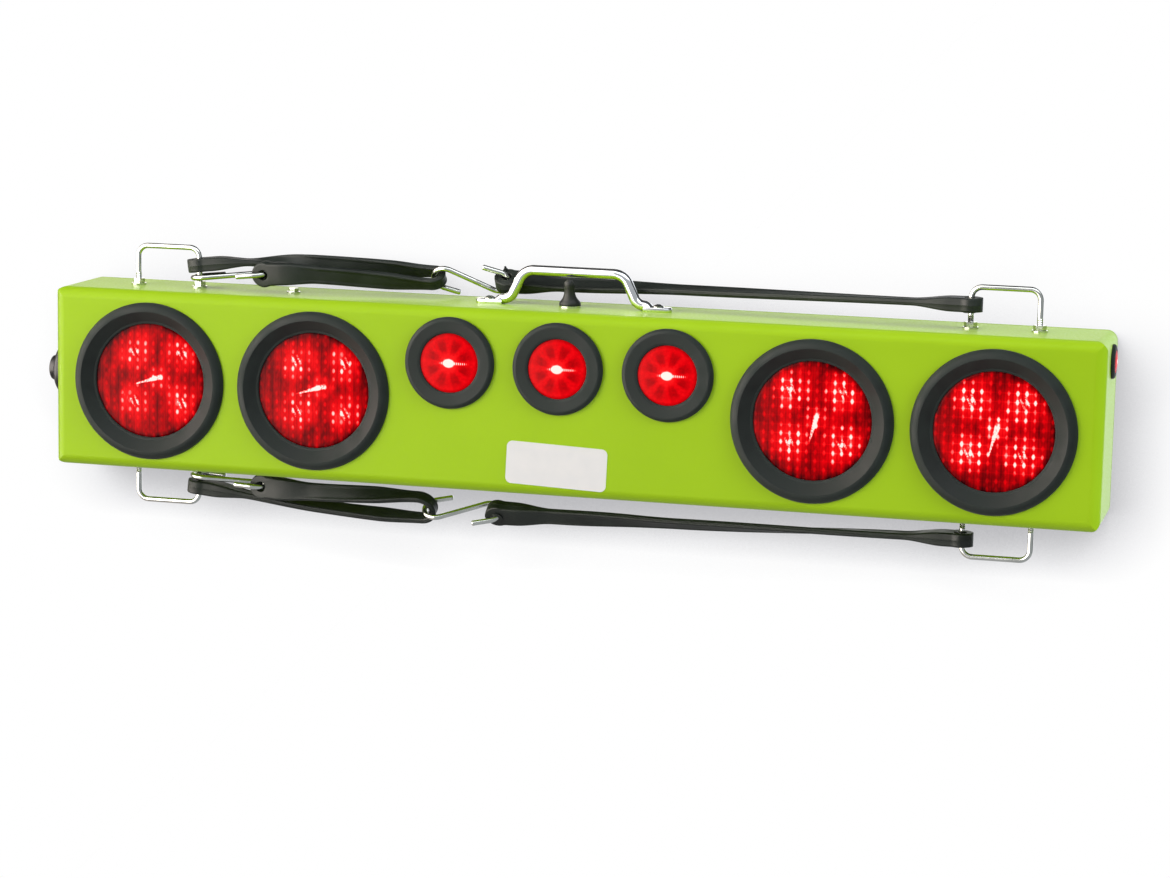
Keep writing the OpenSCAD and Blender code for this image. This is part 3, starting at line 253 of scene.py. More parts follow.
def tail_glow(t, place):
    """Four lit quarters under square pillows with a painted glint in each, two painted leaning glints at each chip,
    painted shade in the pillow grooves and round the edge, and a painted reflected streak.
    """
    pitch, chip = 7.35 * MM, 44 * MM  # of the pillows, and of the chips behind them
    flat = add(t, "VectorMath", place, (1.0, 0.0, 1.0), operation="MULTIPLY")
    lamp_at = add(t, "ObjectInfo")
    side = add(t, "MapRange", add(t, "SeparateXYZ", lamp_at), -0.37, 0.37, 0.0, 1.0)
    # The chips lie deep, so their painted light is shifted nearer the middle of the bar, as seen from one fixed
    # viewpoint
    shift = add(t, "CombineXYZ", add(t, "MapRange", side, 0.0, 1.0, 8 * MM, 2.5 * MM), 0.0, 3.5 * MM)
    deep = add(t, "VectorMath", flat, shift, operation="SUBTRACT")
    quarter = add(t, "VectorMath", add(t, "VectorMath", deep, operation="ABSOLUTE"), (21 * MM, 0.0, 21 * MM),
                  operation="SUBTRACT")
    lit = add(t, "MapRange", add(t, "VectorMath", quarter, operation="LENGTH", out=1), 24 * MM, 8 * MM, 0.0, 1.0,
              interpolation_type="SMOOTHSTEP")
    middle = add(t, "MapRange", add(t, "VectorMath", deep, operation="LENGTH", out=1), 18 * MM, 4 * MM, 0.0, 1.0,
                 interpolation_type="SMOOTHSTEP")
    bright = add(t, "Math", lit, middle, operation="MAXIMUM")
    # Pillows: one painted upright glint in each, as bright as chance and the chips make it, and brighter on the lamps
    # further right
    cells = add(t, "VectorMath", flat, (1 / pitch,) * 3, operation="MULTIPLY")
    inside = add(t, "VectorMath", add(t, "VectorMath", cells, operation="FRACTION"), (0.5, 0.0, 0.5),
                 operation="SUBTRACT")
    number = add(t, "VectorMath", add(t, "VectorMath", cells, operation="FLOOR"), lamp_at, operation="ADD")
    chance = add(t, "TexWhiteNoise", number)
    reach = add(t, "VectorMath", add(t, "VectorMath", inside, (1.95, 0.0, 1.2), operation="MULTIPLY"),
                operation="LENGTH", out=1)
    dot = add(t, "MapRange", reach, 0.5, 0.16, 0.0, 1.0, interpolation_type="SMOOTHSTEP")
    strong = add(t, "MapRange", chance, 0.0, 1.0, 0.14, 0.48)
    gain = add(t, "Math", add(t, "MapRange", bright, 0.0, 1.0, 0.35, 1.0),
               add(t, "MapRange", side, 0.0, 1.0, 0.85, 1.25), operation="MULTIPLY")
    dots = add(t, "Math", add(t, "Math", dot, strong, operation="MULTIPLY"), gain, operation="MULTIPLY")
    away = add(t, "VectorMath", inside, operation="ABSOLUTE")
    edges, rows = add(t, "SeparateXYZ", away), add(t, "SeparateXYZ", away, out=2)
    # Painted shade in the grooves between the pillows
    painted_groove_shade = add(t, "MapRange", edges, 0.36, 0.5, 0.0, 1.0)
    # Pillows on the right, seen more squarely, also show lines of light across their middles
    upright = add(t, "MapRange", edges, 0.15, 0.02, 0.0, 1.0)
    level = add(t, "MapRange", rows, 0.12, 0.02, 0.0, 1.0)
    plaid = add(t, "Math", add(t, "Math", upright, level, operation="MAXIMUM"),
                add(t, "Math", side, gain, operation="MULTIPLY"), operation="MULTIPLY")
    # Patches and upright streaks of shade between the quarters
    tall = add(t, "VectorMath", add(t, "VectorMath", flat, lamp_at, operation="ADD"), (1.0, 0.0, 0.4),
               operation="MULTIPLY")
    patch = add(t, "MapRange", add(t, "TexNoise", tall, inputs={"Scale": 95.0, "Detail": 1.0}), 0.34, 0.66, -0.1, 0.1)
    grain = add(t, "TexNoise", tall, inputs={"Scale": 420.0, "Detail": 1.0})
    streaks = add(t, "MapRange", grain, 0.3, 0.7, -0.05, 0.05)
    # Two leaning glints at each chip
    cell = add(t, "VectorMath", add(t, "VectorMath", deep, (1 / chip,) * 3, operation="MULTIPLY"), operation="FRACTION")
    local = add(t, "VectorMath", add(t, "VectorMath", cell, (0.5, 0.0, 0.5), operation="SUBTRACT"), (chip,) * 3,
                operation="MULTIPLY")
    tipped = add(t, "VectorRotate", local, inputs={"Angle": math.radians(26)}, rotation_type="Y_AXIS")
    pair = add(t, "Math", add(t, "Math", add(t, "SeparateXYZ", tipped), operation="ABSOLUTE"), 2.1 * MM,
               operation="SUBTRACT")
    slim = add(t, "MapRange", add(t, "Math", pair, operation="ABSOLUTE"), 1.3 * MM, 0.4 * MM, 0.0, 1.0,
               interpolation_type="SMOOTHSTEP")
    height = add(t, "Math", add(t, "SeparateXYZ", tipped, out=2), operation="ABSOLUTE")
    short = add(t, "MapRange", height, 6.5 * MM, 3 * MM, 0.0, 1.0, interpolation_type="SMOOTHSTEP")
    spark = add(t, "MapRange", add(t, "TexNoise", place, inputs={"Scale": 650.0, "Detail": 2.0}), 0.4, 0.6, 0.25, 1.0)
    glints = add(t, "Math", add(t, "Math", slim, short, operation="MULTIPLY"), spark, operation="MULTIPLY")
    # A painted reflected streak across the middle, which swells to the right
    lean = add(t, "MapRange", side, 0.3, 0.7, math.radians(17), math.radians(76))
    swung = add(t, "VectorRotate", deep, inputs={"Angle": lean}, rotation_type="Y_AXIS")
    u, v = add(t, "SeparateXYZ", swung), add(t, "SeparateXYZ", swung, out=2)
    from_middle = add(t, "Math", add(t, "Math", u, 9 * MM, operation="ADD"), operation="ABSOLUTE")
    along = add(t, "MapRange", from_middle, 15 * MM, 10 * MM, 0.0, 1.0)
    wide = add(t, "MapRange", u, -22 * MM, 2 * MM, 0.8 * MM, 3.2 * MM)
    off_line = add(t, "Math", add(t, "Math", v, operation="ABSOLUTE"), wide, operation="DIVIDE")
    beside = add(t, "MapRange", off_line, 1.0, 0.3, 0.0, 1.0, interpolation_type="SMOOTHSTEP")
    painted_streak = add(t, "Math", add(t, "Math", along, beside, operation="MULTIPLY"),
                 add(t, "MapRange", spark, 0.25, 1.0, 0.55, 1.0), operation="MULTIPLY")
    total = add(t, "Math", add(t, "Math", bright, 0.27, 0.29, operation="MULTIPLY_ADD"),
                add(t, "Math", patch, streaks, operation="ADD"), operation="ADD")
    total = add(t, "Math", total, add(t, "Math", painted_groove_shade, -0.09, operation="MULTIPLY"), operation="ADD")
    total = add(t, "Math", plaid, 0.1, total, operation="MULTIPLY_ADD")
    # Painted shade round the lens's edge
    painted_rim_shade = add(t, "MapRange", add(t, "VectorMath", flat, operation="LENGTH", out=1), 45 * MM, 49.5 * MM, 0.0, -0.22)
    total = add(t, "Math", add(t, "Math", total, painted_rim_shade, operation="ADD"), dots, operation="ADD")
    total = add(t, "Math", total, add(t, "Math", glints, 0.4, operation="MULTIPLY"), operation="ADD")
    total = add(t, "Math", total, add(t, "Math", painted_streak, 0.75, operation="MULTIPLY"), operation="ADD", use_clamp=True)
    return total, dot


def id_glow(t, place):
    """One white-hot chip in the middle with a dotted painted flare beside it, eight darker petals round it, and painted
    shade round the edge.
    """
    flat = add(t, "VectorMath", place, (1.0, 0.0, 1.0), operation="MULTIPLY")
    x, z = add(t, "SeparateXYZ", flat), add(t, "SeparateXYZ", flat, out=2)
    r = add(t, "VectorMath", flat, operation="LENGTH", out=1)
    angle = add(t, "Math", z, x, operation="ARCTAN2")
    petals = add(t, "Math", add(t, "Math", angle, 8.0, operation="MULTIPLY"), operation="COSINE")
    off_ring = add(t, "Math", add(t, "Math", r, 14.5 * MM, operation="SUBTRACT"), operation="ABSOLUTE")
    ring = add(t, "MapRange", off_ring, 9.5 * MM, 1 * MM, 0.0, 1.0, interpolation_type="SMOOTHSTEP")
    petal = add(t, "MapRange", petals, 0.9, -0.5, 0.0, 1.0, interpolation_type="SMOOTHSTEP")
    dark = add(t, "Math", petal, ring, operation="MULTIPLY")
    glow = add(t, "MapRange", r, 14 * MM, 2 * MM, 0.0, 0.16, interpolation_type="SMOOTHSTEP")
    oval = add(t, "VectorMath", add(t, "VectorMath", flat, (0.72, 0.0, 1.0), operation="MULTIPLY"),
               operation="LENGTH", out=1)
    core = add(t, "MapRange", oval, 4.3 * MM, 2.1 * MM, 0.0, 1.0, interpolation_type="SMOOTHSTEP")
    wave = add(t, "Math", add(t, "Math", x, 2 * math.pi / (1.7 * MM), operation="MULTIPLY"), operation="SINE")
    beads = add(t, "MapRange", wave, -0.2, 0.7, 0.15, 1.0)
    from_flare = add(t, "Math", add(t, "Math", x, 4 * MM, operation="SUBTRACT"), operation="ABSOLUTE")
    span = add(t, "MapRange", from_flare, 14 * MM, 9 * MM, 0.0, 1.0)
    thin = add(t, "MapRange", add(t, "Math", z, operation="ABSOLUTE"), 1.5 * MM, 0.3 * MM, 0.0, 1.0)
    flare = add(t, "Math", add(t, "Math", beads, span, operation="MULTIPLY"), thin, operation="MULTIPLY")
    fine = add(t, "TexNoise", place, inputs={"Scale": 400.0, "Detail": 2.0})
    total = add(t, "Math", add(t, "MapRange", fine, 0.3, 0.7, 0.47, 0.55), glow, operation="ADD")
    # Painted shade round the lens's edge
    painted_rim_shade = add(t, "MapRange", r, 22.5 * MM, 25 * MM, 0.0, -0.16)
    total = add(t, "Math", add(t, "Math", total, painted_rim_shade, operation="ADD"),
                add(t, "Math", dark, 0.15, operation="MULTIPLY"), operation="SUBTRACT")
    total = add(t, "Math", total, add(t, "Math", core, 0.8, operation="MULTIPLY"), operation="ADD")
    total = add(t, "Math", total, add(t, "Math", flare, 0.55, operation="MULTIPLY"), operation="ADD", use_clamp=True)
    return total, add(t, "Math", dark, -1.0, operation="MULTIPLY")


def marker_glow(t, place):
    """One white-hot point in the middle of the red lens at either end of the bar."""
    centre = add(t, "VectorMath", place, (0.0, ROW_Y * MM, MARKER_Z * MM), operation="SUBTRACT")
    flat = add(t, "VectorMath", centre, (0.0, 1.0, 1.0), operation="MULTIPLY")
    r = add(t, "VectorMath", flat, operation="LENGTH", out=1)
    core = add(t, "MapRange", r, 3.2 * MM, 0.8 * MM, 0.0, 1.0, interpolation_type="SMOOTHSTEP")
    glow = add(t, "MapRange", r, 10 * MM, 1 * MM, 0.32, 0.6)
    ribs = add(t, "Math", add(t, "Math", r, 2 * math.pi / (1.6 * MM), operation="MULTIPLY"), operation="SINE")
    total = add(t, "Math", glow, add(t, "Math", ribs, 0.05, operation="MULTIPLY"), operation="ADD")
    return add(t, "Math", total, add(t, "Math", core, 0.5, operation="MULTIPLY"), operation="ADD", use_clamp=True), ribs


def lit_chip():
    """Chips on their carriers: pale yellow, glowing."""
    m = finish("lit_chips", Roughness=0.4, Emission_Strength=3.0)
    t = m.node_tree
    grain = add(t, "TexNoise", add(t, "TexCoord", out=3), inputs={"Scale": 500.0})
    colour = add(t, "ValToRGB", grain, stops=[(0.3, "#FFE9B0"), (0.7, "#FFF6DC")])
    wire(m, Base_Color=colour, Emission_Color=colour)
    return m


# Geometry helpers

def piece(name, points, faces, material, body="board", at=(0, 0, 0), sharp=None):
    """A mesh piece from millimetre points, shaded smooth, that rides on a body."""
    mesh = bpy.data.meshes.new(name)
    mesh.from_pydata([Vector(p) * MM for p in points], [], faces)
    mesh.validate()
    mesh.update()
    obj = bpy.data.objects.new(name, mesh)
    bpy.context.collection.objects.link(obj)
    obj.location = Vector(at) * MM
    mesh.materials.append(material)
    for polygon in mesh.polygons:
        polygon.use_smooth = True
    if sharp:
        mesh.set_sharp_from_angle(angle=math.radians(sharp))
    if body:
        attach(obj, body)
    return obj


def rings_to_mesh(rings):
    """Points and faces of a skin over rings of equal count, with flat ends."""
    n = len(rings[0])
    points = [p for ring in rings for p in ring]
    faces = []
    for i in range(len(rings) - 1):
        for k in range(n):
            a, b = i * n + k, i * n + (k + 1) % n
            faces.append((a, b, b + n, a + n))
    faces.append(tuple(range(n - 1, -1, -1)))
    faces.append(tuple(range((len(rings) - 1) * n, len(rings) * n)))
    return points, faces


def turned(profile, sides, at=lambda height: Vector((0, 0, 0))):
    """Rings of a profile of (radius, height) pairs turned about the Z axis, each moved by at(height)."""
    return [[Vector((r * math.cos(2 * math.pi * k / sides), r * math.sin(2 * math.pi * k / sides), h)) + at(h)
             for k in range(sides)] for r, h in profile]


def mix(a, b, t):
    return a * (1 - t) + b * t


def ease(t):
    return t * t * (3 - 2 * t)


def keyed(keys, s):
    """Value at s along a list of (place, value) keys, eased between keys."""
    if s <= keys[0][0]:
        return keys[0][1]
    for (s0, v0), (s1, v1) in zip(keys, keys[1:]):
        if s < s1:
            return mix(v0, v1, ease((s - s0) / (s1 - s0)))
    return keys[-1][1]


def steps(a, b, n):
    """n values from a up to but not reaching b."""
    return [a + (b - a) * i / n for i in range(n)]


def round_rod(path, radius, sides=20):
    """Rings of a round wire along a path, with rounded ends."""
    path = [Vector(p) for p in path]
    tangents = [(path[min(i + 1, len(path) - 1)] - path[max(i - 1, 0)]).normalized() for i in range(len(path))]
    side = tangents[0].orthogonal().normalized()
    places = []
    for p, t in zip(path, tangents):
        side = (side - t * side.dot(t)).normalized()
        places.append((p, side.copy(), t.cross(side)))

    def ring(p, a, b, r):
        turns = [2 * math.pi * k / sides for k in range(sides)]
        return [p + (a * math.cos(q) + b * math.sin(q)) * r for q in turns]

    def end(place, outward, angles):
        p, a, b = place
        return [ring(p + outward * radius * 0.5 * math.sin(q), a, b, radius * math.cos(q)) for q in angles]

    body = [ring(p, a, b, radius) for p, a, b in places]
    heads = end(places[0], -tangents[0], (1.45, 1.1, 0.75, 0.4))
    tails = end(places[-1], tangents[-1], (0.4, 0.75, 1.1, 1.45))
    return heads + body + tails


# Camera

def place_camera():
    """The photograph's camera, from a fit of the lamps and the housing's corners."""
    right = Vector((0.967323, 0.252649, 0.021348))
    up = Vector((-0.061460, 0.151964, 0.986474))
    back = right.cross(up)
    cam = bpy.data.cameras.new("camera")
    cam.sensor_width = 36
    cam.lens = 99.48
    cam.shift_x, cam.shift_y = -0.00675, 0.0004
    cam.clip_end = 50
    obj = bpy.data.objects.new("camera", cam)
    turn = Matrix((right, up, back)).transposed()
    obj.matrix_world = Matrix.Translation((0.70080, -2.68589, 0.41558)) @ turn.to_4x4()
    bpy.context.collection.objects.link(obj)
    bpy.context.scene.camera = obj


place_camera()

# Studio

def lamp(name, at, to, size, power, colour="#FFFFFF"):
    """A soft box that gloss doesn't mirror, because the world gives the gloss its own room."""
    light = bpy.data.lights.new(name, "AREA")
    light.shape = "RECTANGLE"
    light.size, light.size_y = size
    light.energy = power
    light.color = linear(colour)[:3]
    obj = bpy.data.objects.new(name, light)
    obj.location = at
    obj.rotation_euler = (Vector(to) - Vector(at)).to_track_quat("-Z", "Y").to_euler()
    obj.visible_glossy = False
    bpy.context.collection.objects.link(obj)


def studio():
    """Soft light from three boxes. Gloss mirrors a room instead: white behind, a dark ceiling and a bright left."""
    lamp("key_softbox", (-2.1, -2.4, 1.0), (0, 0, 0), (1.8, 1.4), 50, "#FFF5E8")
    lamp("fill_softbox", (3.0, -1.0, 1.1), (0.2, 0, 0), (1.6, 1.6), 56, "#F2F8FF")
    lamp("top_softbox", (0.3, 0.7, 2.6), (0, 0, 0), (2.6, 1.2), 22)
    world = bpy.data.worlds.new("studio")
    bpy.context.scene.world = world
    world.use_nodes = True
    t = world.node_tree
    t.nodes.clear()
    seen, mirrored = add(t, "LightPath"), add(t, "LightPath", out=3)
    toward = add(t, "TexCoord")
    x, y, z = (add(t, "SeparateXYZ", toward, out=i) for i in range(3))
    ambient, unlit = 0.5, 0.08
    # Levels of the room in front, above, and behind the bar, by direction
    front = add(t, "MapRange", x, -0.43, -0.2, 8.5, 0.5)
    overhead = add(t, "MapRange", z, 0.86, 0.97, 3.2, unlit)
    beside = add(t, "MapRange", add(t, "Math", x, operation="ABSOLUTE"), 0.4, 0.6, 1.75, 0.25)
    level = add(t, "Mix", add(t, "MapRange", y, -0.1, 0.1), inputs={2: front, 3: beside})
    ceiling = add(t, "Mix", add(t, "MapRange", y, -0.2, 0.2), inputs={2: 0.62, 3: 0.3})
    above = add(t, "Mix", add(t, "MapRange", y, -0.15, 0.05), inputs={2: overhead, 3: unlit})
    level = add(t, "Mix", add(t, "MapRange", add(t, "Math", z, ceiling, operation="SUBTRACT"), -0.06, 0.06),
                inputs={2: level, 3: above})
    level = add(t, "Mix", add(t, "MapRange", z, -0.5, -0.25), inputs={2: ambient, 3: level})
    tint = add(t, "ValToRGB", add(t, "MapRange", x, -0.5, 0.0), stops=[(0.0, "#FFF4EC"), (1.0, "#F6FAFF")])
    strength = add(t, "Mix", mirrored, inputs={2: ambient, 3: level})
    room = add(t, "Background", tint, strength)
    add(t, "OutputWorld", add(t, "MixShader", seen, room, add(t, "Background", (1, 1, 1, 1), 1.0)))
    bpy.context.scene.view_settings.view_transform = "Standard"


def white_wall():
    """White wall behind the bar, seen by the camera only and from the front only, with a painted soft shade of the bar
    from ambient occlusion.
    """
    paper = bpy.data.materials.new("white_wall_painted_shadow")
    paper.use_nodes = True
    t = paper.node_tree
    t.nodes.clear()
    # The painted shade is tilted to fall down and to the right, as if most light came from the upper left
    shade = add(t, "AmbientOcclusion", inputs={"Distance": 0.06, "Normal": add(t, "CombineXYZ", -0.33, -0.54, 0.774)},
                out=1, samples=8)
    painted_shadow_tone = add(t, "ValToRGB", shade, stops=[(0.3, "#ABABB0"), (0.5, "#C4C4C6"), (0.62, "#DADADC"), (0.74, "#EAEAEC"),
                                            (0.88, "#F7F7F8"), (0.97, "#FFFFFF")])
    in_front = add(t, "Math", 1.0, add(t, "NewGeometry", out=6), operation="SUBTRACT")
    seen = add(t, "Math", add(t, "LightPath"), in_front, operation="MULTIPLY")
    add(t, "OutputMaterial", add(t, "MixShader", seen, add(t, "BsdfTransparent"), add(t, "Emission", painted_shadow_tone, 1.0)))
    half = 30 / MM
    corners = [(x * half, WALL_Y, z * half) for x, z in ((-1, -1), (1, -1), (1, 1), (-1, 1))]
    wall = piece("studio_wall", corners, [(0, 1, 2, 3)], paper, body=None)


studio()
white_wall()

# Finishes of the pieces that keep their shape

coat, rubber, strap_skin = powder_coat(), grommet_rubber(), strap_rubber()
zinc, threaded = zinc_plate(), threaded_zinc()
chrome, gloss_black, label_film = chrome_plate(), gloss_plastic(), film_label()
inner_black = matt_plastic("moulded_black_abs", "#101112", "#1C1D1E")
battery_case = matt_plastic("battery_case_abs", "#15181F", "#222630")
marker_red = lit_lens("red_marker_polycarbonate", marker_glow)
tail_red = lit_lens("red_pillow_polycarbonate", tail_glow)
id_red = lit_lens("red_petal_polycarbonate", id_glow)
FINISHES = {
    "housing": coat, "rear_cover": coat, "cover_gasket": foam(), "tail_grommet": rubber, "id_grommet": rubber,
    "marker_grommet": rubber, "marker_lamp": marker_red, "tail_lens": tail_red, "id_lens": id_red,
    "tail_reflector": chrome, "lamp_chips": lit_chip(), "tail_body": inner_black, "id_body": inner_black,
    "bail_nuts": zinc, "bail": threaded, "handle_screws": zinc, "handle": chrome, "switch_boot": boot_rubber(),
    "switch_lever": chrome, "switch_nut": zinc, "switch_body": inner_black, "port": gloss_black, "strap": strap_skin,
    "hook": zinc, "label_plate": label_film, "battery_bracket": zinc, "battery_bolt": zinc,
    "battery": battery_case, "receiver": inner_black, "cover_screws": zinc,
}
for node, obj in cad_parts.items():
    key = max((k for k in FINISHES if node.startswith(k)), key=len)
    obj.data.materials.clear()
    obj.data.materials.append(FINISHES[key])


# Lenses

def lens_dome(name, at, radius, dome, material, node):
    """A domed window with a rolled edge, facing the front."""
    rise, edge = RIM_TOP + LENS_RISE, 0.9
    profile = [(radius * i / 30, rise + dome * (1 - (i / 30) ** 2)) for i in range(1, 30)]
    profile += [(radius - edge + edge * math.sin(q), rise - edge + edge * math.cos(q) + 0.1)
                for q in (0.5, 0.9, 1.3, 1.57)]
    profile += [(radius, RIM_TOP + 0.1)]
    rings = [[Vector((p.x, -p.z, p.y)) for p in ring] for ring in turned(profile, 96)]
    obj = piece(name, *rings_to_mesh(rings), material, at=at)
    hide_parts(node)


for i, x in enumerate(TAIL_XS):
    lens_dome(f"tail_lens_window_{i + 1}", (x, -DEPTH + TAIL_SUNK, 0), 49.8, 1.6, tail_red, f"tail_lens_{i + 1}")
for i, x in enumerate(ID_XS):
    lens_dome(f"id_lens_window_{i + 1}", (x, -DEPTH, ID_Z), 25.3, 1.4, id_red, f"id_lens_{i + 1}")


# Marker lamps: a low lens in each end

MARKER_R, MARKER_TIP, MARKER_DOME = 9.6, 4.1, 0.9

for side, name in ((-1, "left"), (1, "right")):
    profile = [((MARKER_R - 0.3) * i / 12, MARKER_TIP - MARKER_DOME * (i / 12) ** 2) for i in range(1, 13)]
    profile += [(MARKER_R, 2.8), (MARKER_R, 0)]
    rings = [[Vector((side * (HALF_L + p.z), ROW_Y + p.x, MARKER_Z - side * p.y)) for p in ring]
             for ring in turned(profile, 48)]
    lens = piece(f"marker_lens_{name}", *rings_to_mesh(rings), marker_red)
    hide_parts(f"marker_lamp_{name}")


# End port: a domed flange and the cap on it, with a bead at the cap's mouth

PORT_R, CAP_R, CAP_END = 23.6, 11.8, 21.5
DOME_FOOT, DOME_RISE, DOME_DRAW = 8.5, 5.6, 9.6


def end_piece(name, profile, node, body):
    """A black piece turned about the port's axis, from a profile of (radius, height off the end face)."""
    rings = [[Vector((-HALF_L - p.z, ROW_Y + p.x, p.y)) for p in ring] for ring in turned(profile, 72)]
    obj = piece(name, *rings_to_mesh(rings), gloss_black, body=body, sharp=40)
    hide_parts(node)


arc = [math.pi / 2 * k / 12 for k in range(12)]
dome = [(PORT_R - DOME_DRAW * (1 - math.cos(q)), DOME_FOOT + DOME_RISE * math.sin(q)) for q in arc]
flange = [(PORT_R, 0), (PORT_R, 2)] + dome + [(12.8, 14.1), (CAP_R + 0.2, 14.2)]
cap = [(CAP_R, 14.3), (CAP_R, 16.0), (CAP_R - 0.6, 16.4), (CAP_R - 0.7, 19.8), (CAP_R - 1.1, 20.8),
       (CAP_R - 2, 21.4), (0.5, CAP_END)]
end_piece("port_flange", flange, "port_socket", "board")
end_piece("port_cap_cover", cap, "port_cap", "cap")


# Bails: bent wire, with the nuts left as they are

BAIL_TOP, BAIL_R, LEG_END = HALF_H + 34.8, 9, HALF_H - 17


def make_bail(side, up, node):
    """A bail on the left or right (side -1 or 1), on the top or the bottom (up 1 or -1)."""
    half, corner = BAIL_W / 2, Vector((BAIL_W / 2 - BAIL_R, 0, BAIL_TOP - BAIL_R))
    bend = [corner + Vector((math.sin(q), 0, math.cos(q))) * BAIL_R for q in [math.pi / 2 * k / 14 for k in range(15)]]
    across_top = [Vector((x, 0, BAIL_TOP)) for x in steps(0, half - BAIL_R, 5)]
    leg = [Vector((half, 0, z)) for z in steps(BAIL_TOP - BAIL_R, LEG_END, 10)[1:] + [LEG_END]]
    right = across_top + bend + leg
    path = [Vector((-p.x, 0, p.z)) for p in reversed(right[1:])] + right
    path = [Vector((side * TAIL_XS[3] + p.x, ROW_Y, up * p.z)) for p in path]
    obj = piece(node + "_wire", *rings_to_mesh(round_rod(path, WIRE_R, 24)), threaded)
    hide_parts(node)


for side, along in ((-1, "left"), (1, "right")):
    make_bail(side, 1, "bail_top_" + along)
    make_bail(side, -1, "bail_bottom_" + along)


# Handle: a bent rod of round bar, flattened at both ends

HANDLE_R, HANDLE_H, HANDLE_TOP, HANDLE_SLOPE = 4.5, 30.2, 70, math.radians(65)
FOOT_W, FOOT_T, FOOT_L = 12, 4, 24
BEND_LOW, BEND_HIGH = 10, 14
leg_rise = HANDLE_H - HANDLE_R - (BEND_LOW + BEND_HIGH) * (1 - math.cos(HANDLE_SLOPE))
FOOT_X = HANDLE_TOP / 2 + (BEND_LOW + BEND_HIGH) * math.sin(HANDLE_SLOPE) + leg_rise / math.tan(HANDLE_SLOPE)


def handle_half():
    """Stations (x, height, half width, half thickness) from the left foot to the left end of the grip."""
    r, low = HANDLE_R, HANDLE_R + 0.1
    out = []
    for t in steps(0, 1, 8):
        out.append((-FOOT_X - 9 + 9 * t, mix(FOOT_T / 2, low, ease(t)), mix(FOOT_W / 2 - 0.3, r, ease(t)),
                    mix(FOOT_T / 2 - 0.05, r, ease(t))))
    for t in steps(0, 1, 14):
        a = HANDLE_SLOPE * t
        out.append((-FOOT_X + BEND_LOW * math.sin(a), low + BEND_LOW * (1 - math.cos(a)), r, r))
    for t in steps(1, 0, 18) + [0]:
        a = HANDLE_SLOPE * t
        out.append((-HANDLE_TOP / 2 - BEND_HIGH * math.sin(a), HANDLE_H - BEND_HIGH * (1 - math.cos(a)), r, r))
    return out


def make_handle():
    """The rod from foot to foot, with a flat rounded tongue under each end."""
    left = handle_half()
    stations = left + [(-x, h, w, t) for x, h, w, t in reversed(left)]
    sides = 32
    rings = []
    for i, (x, h, w, t) in enumerate(stations):
        a, b = stations[max(i - 1, 0)], stations[min(i + 1, len(stations) - 1)]
        run = Vector((b[0] - a[0], 0, b[1] - a[1])).normalized()
        out = Vector((-run.z, 0, run.x))
        ring = []
        for k in range(sides):
            q = 2 * math.pi * k / sides
            ring.append(Vector((x, ROW_Y + w * math.sin(q), HALF_H + h)) + out * (t * math.cos(q)))
        rings.append(ring)
    points, faces = rings_to_mesh(rings)
    for side in (-1, 1):
        outline = [(side * FOOT_X, -FOOT_W / 2), (side * (FOOT_X + FOOT_L - FOOT_W / 2), -FOOT_W / 2)]
        outline += [(side * (FOOT_X + FOOT_L - FOOT_W / 2 + FOOT_W / 2 * math.sin(q)), -FOOT_W / 2 * math.cos(q))
                    for q in [math.pi * k / 16 for k in range(1, 16)]]
        outline += [(side * (FOOT_X + FOOT_L - FOOT_W / 2), FOOT_W / 2), (side * FOOT_X, FOOT_W / 2)]
        if side < 0:
            outline.reverse()
        middle = Vector((side * (FOOT_X + FOOT_L / 2), 0))
        layers = []
        for height, inset in ((0, 0.25), (0.4, 0), (FOOT_T - 0.9, 0), (FOOT_T - 0.4, 0.25), (FOOT_T, 0.9)):
            layer = []
            for x, y in outline:
                away = Vector((x, y)) - middle
                k = 1 - inset / away.length
                layer.append(Vector((middle.x + away.x * k, ROW_Y + away.y * k, HALF_H + height)))
            layers.append(layer)
        more_points, more_faces = rings_to_mesh(layers)
        base = len(points)
        points += more_points
        faces += [tuple(i + base for i in face) for face in more_faces]
    obj = piece("carrying_handle", points, faces, chrome, sharp=50)
    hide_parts("handle")


make_handle()

# Rubber straps and their S-hooks

STRAP_W, STRAP_T, EYE_R, EYE_T, EYE_HOLE = 15.5, 5.5, 11, 12, 4.1
FOLD_HW, FOLD_HT, NECK_L = 5.5, 2.75, 48
EYE_RISE, EYE_FLAT, EYE_SEAT, EYE_FLARE, GAP = 5.2, 13, 1.3, 1.1, 0.3
LEG_X = TAIL_XS[3] - BAIL_W / 2
FOLD_X = -LEG_X + 217.7
FREE_X = FOLD_X - 153
HOOK_R, HOOK_SPAN, HOOK_TIP = 11, 46, 14
TOP_ROW, LOW_ROW = (-22.4, HALF_H + 17), (-40, -HALF_H - 25.5)
TOP_STEP, LOW_STEP = (-14, -9.5), (-14, 21)
TOP_FREE, LOW_FREE = (-49, HALF_H + 16), (-51, -HALF_H - 14)


def eye_width(s):
    """Half width of a strap at s from the middle of its eye."""
    flat = keyed([(EYE_RISE, EYE_R * 0.89), (16, EYE_R * 0.87), (NECK_L, STRAP_W / 2)], s)
    return max(flat, math.sqrt(EYE_R ** 2 - s * s)) if s < EYE_R else flat


def eye_thick(s):
    """Half thickness of a strap at s from the middle of its eye."""
    return keyed([(EYE_FLAT, EYE_T / 2 - 0.1), (NECK_L, STRAP_T / 2)], s)


def eye_shift(slope):
    """How far an eye hangs off the leg that it is on, with the leg against the hole's side."""
    return EYE_HOLE - WIRE_R - GAP - abs(slope) * EYE_T / 2


def run_at(a, da, b, db, t):
    """Place at t along a curve from a to b that leaves along da and arrives along db."""
    reach = (b - a).length / 3
    p, q, u = a + da * reach, b - db * reach, 1 - t
    return a * u ** 3 + p * 3 * u * u * t + q * 3 * u * t * t + b * t ** 3


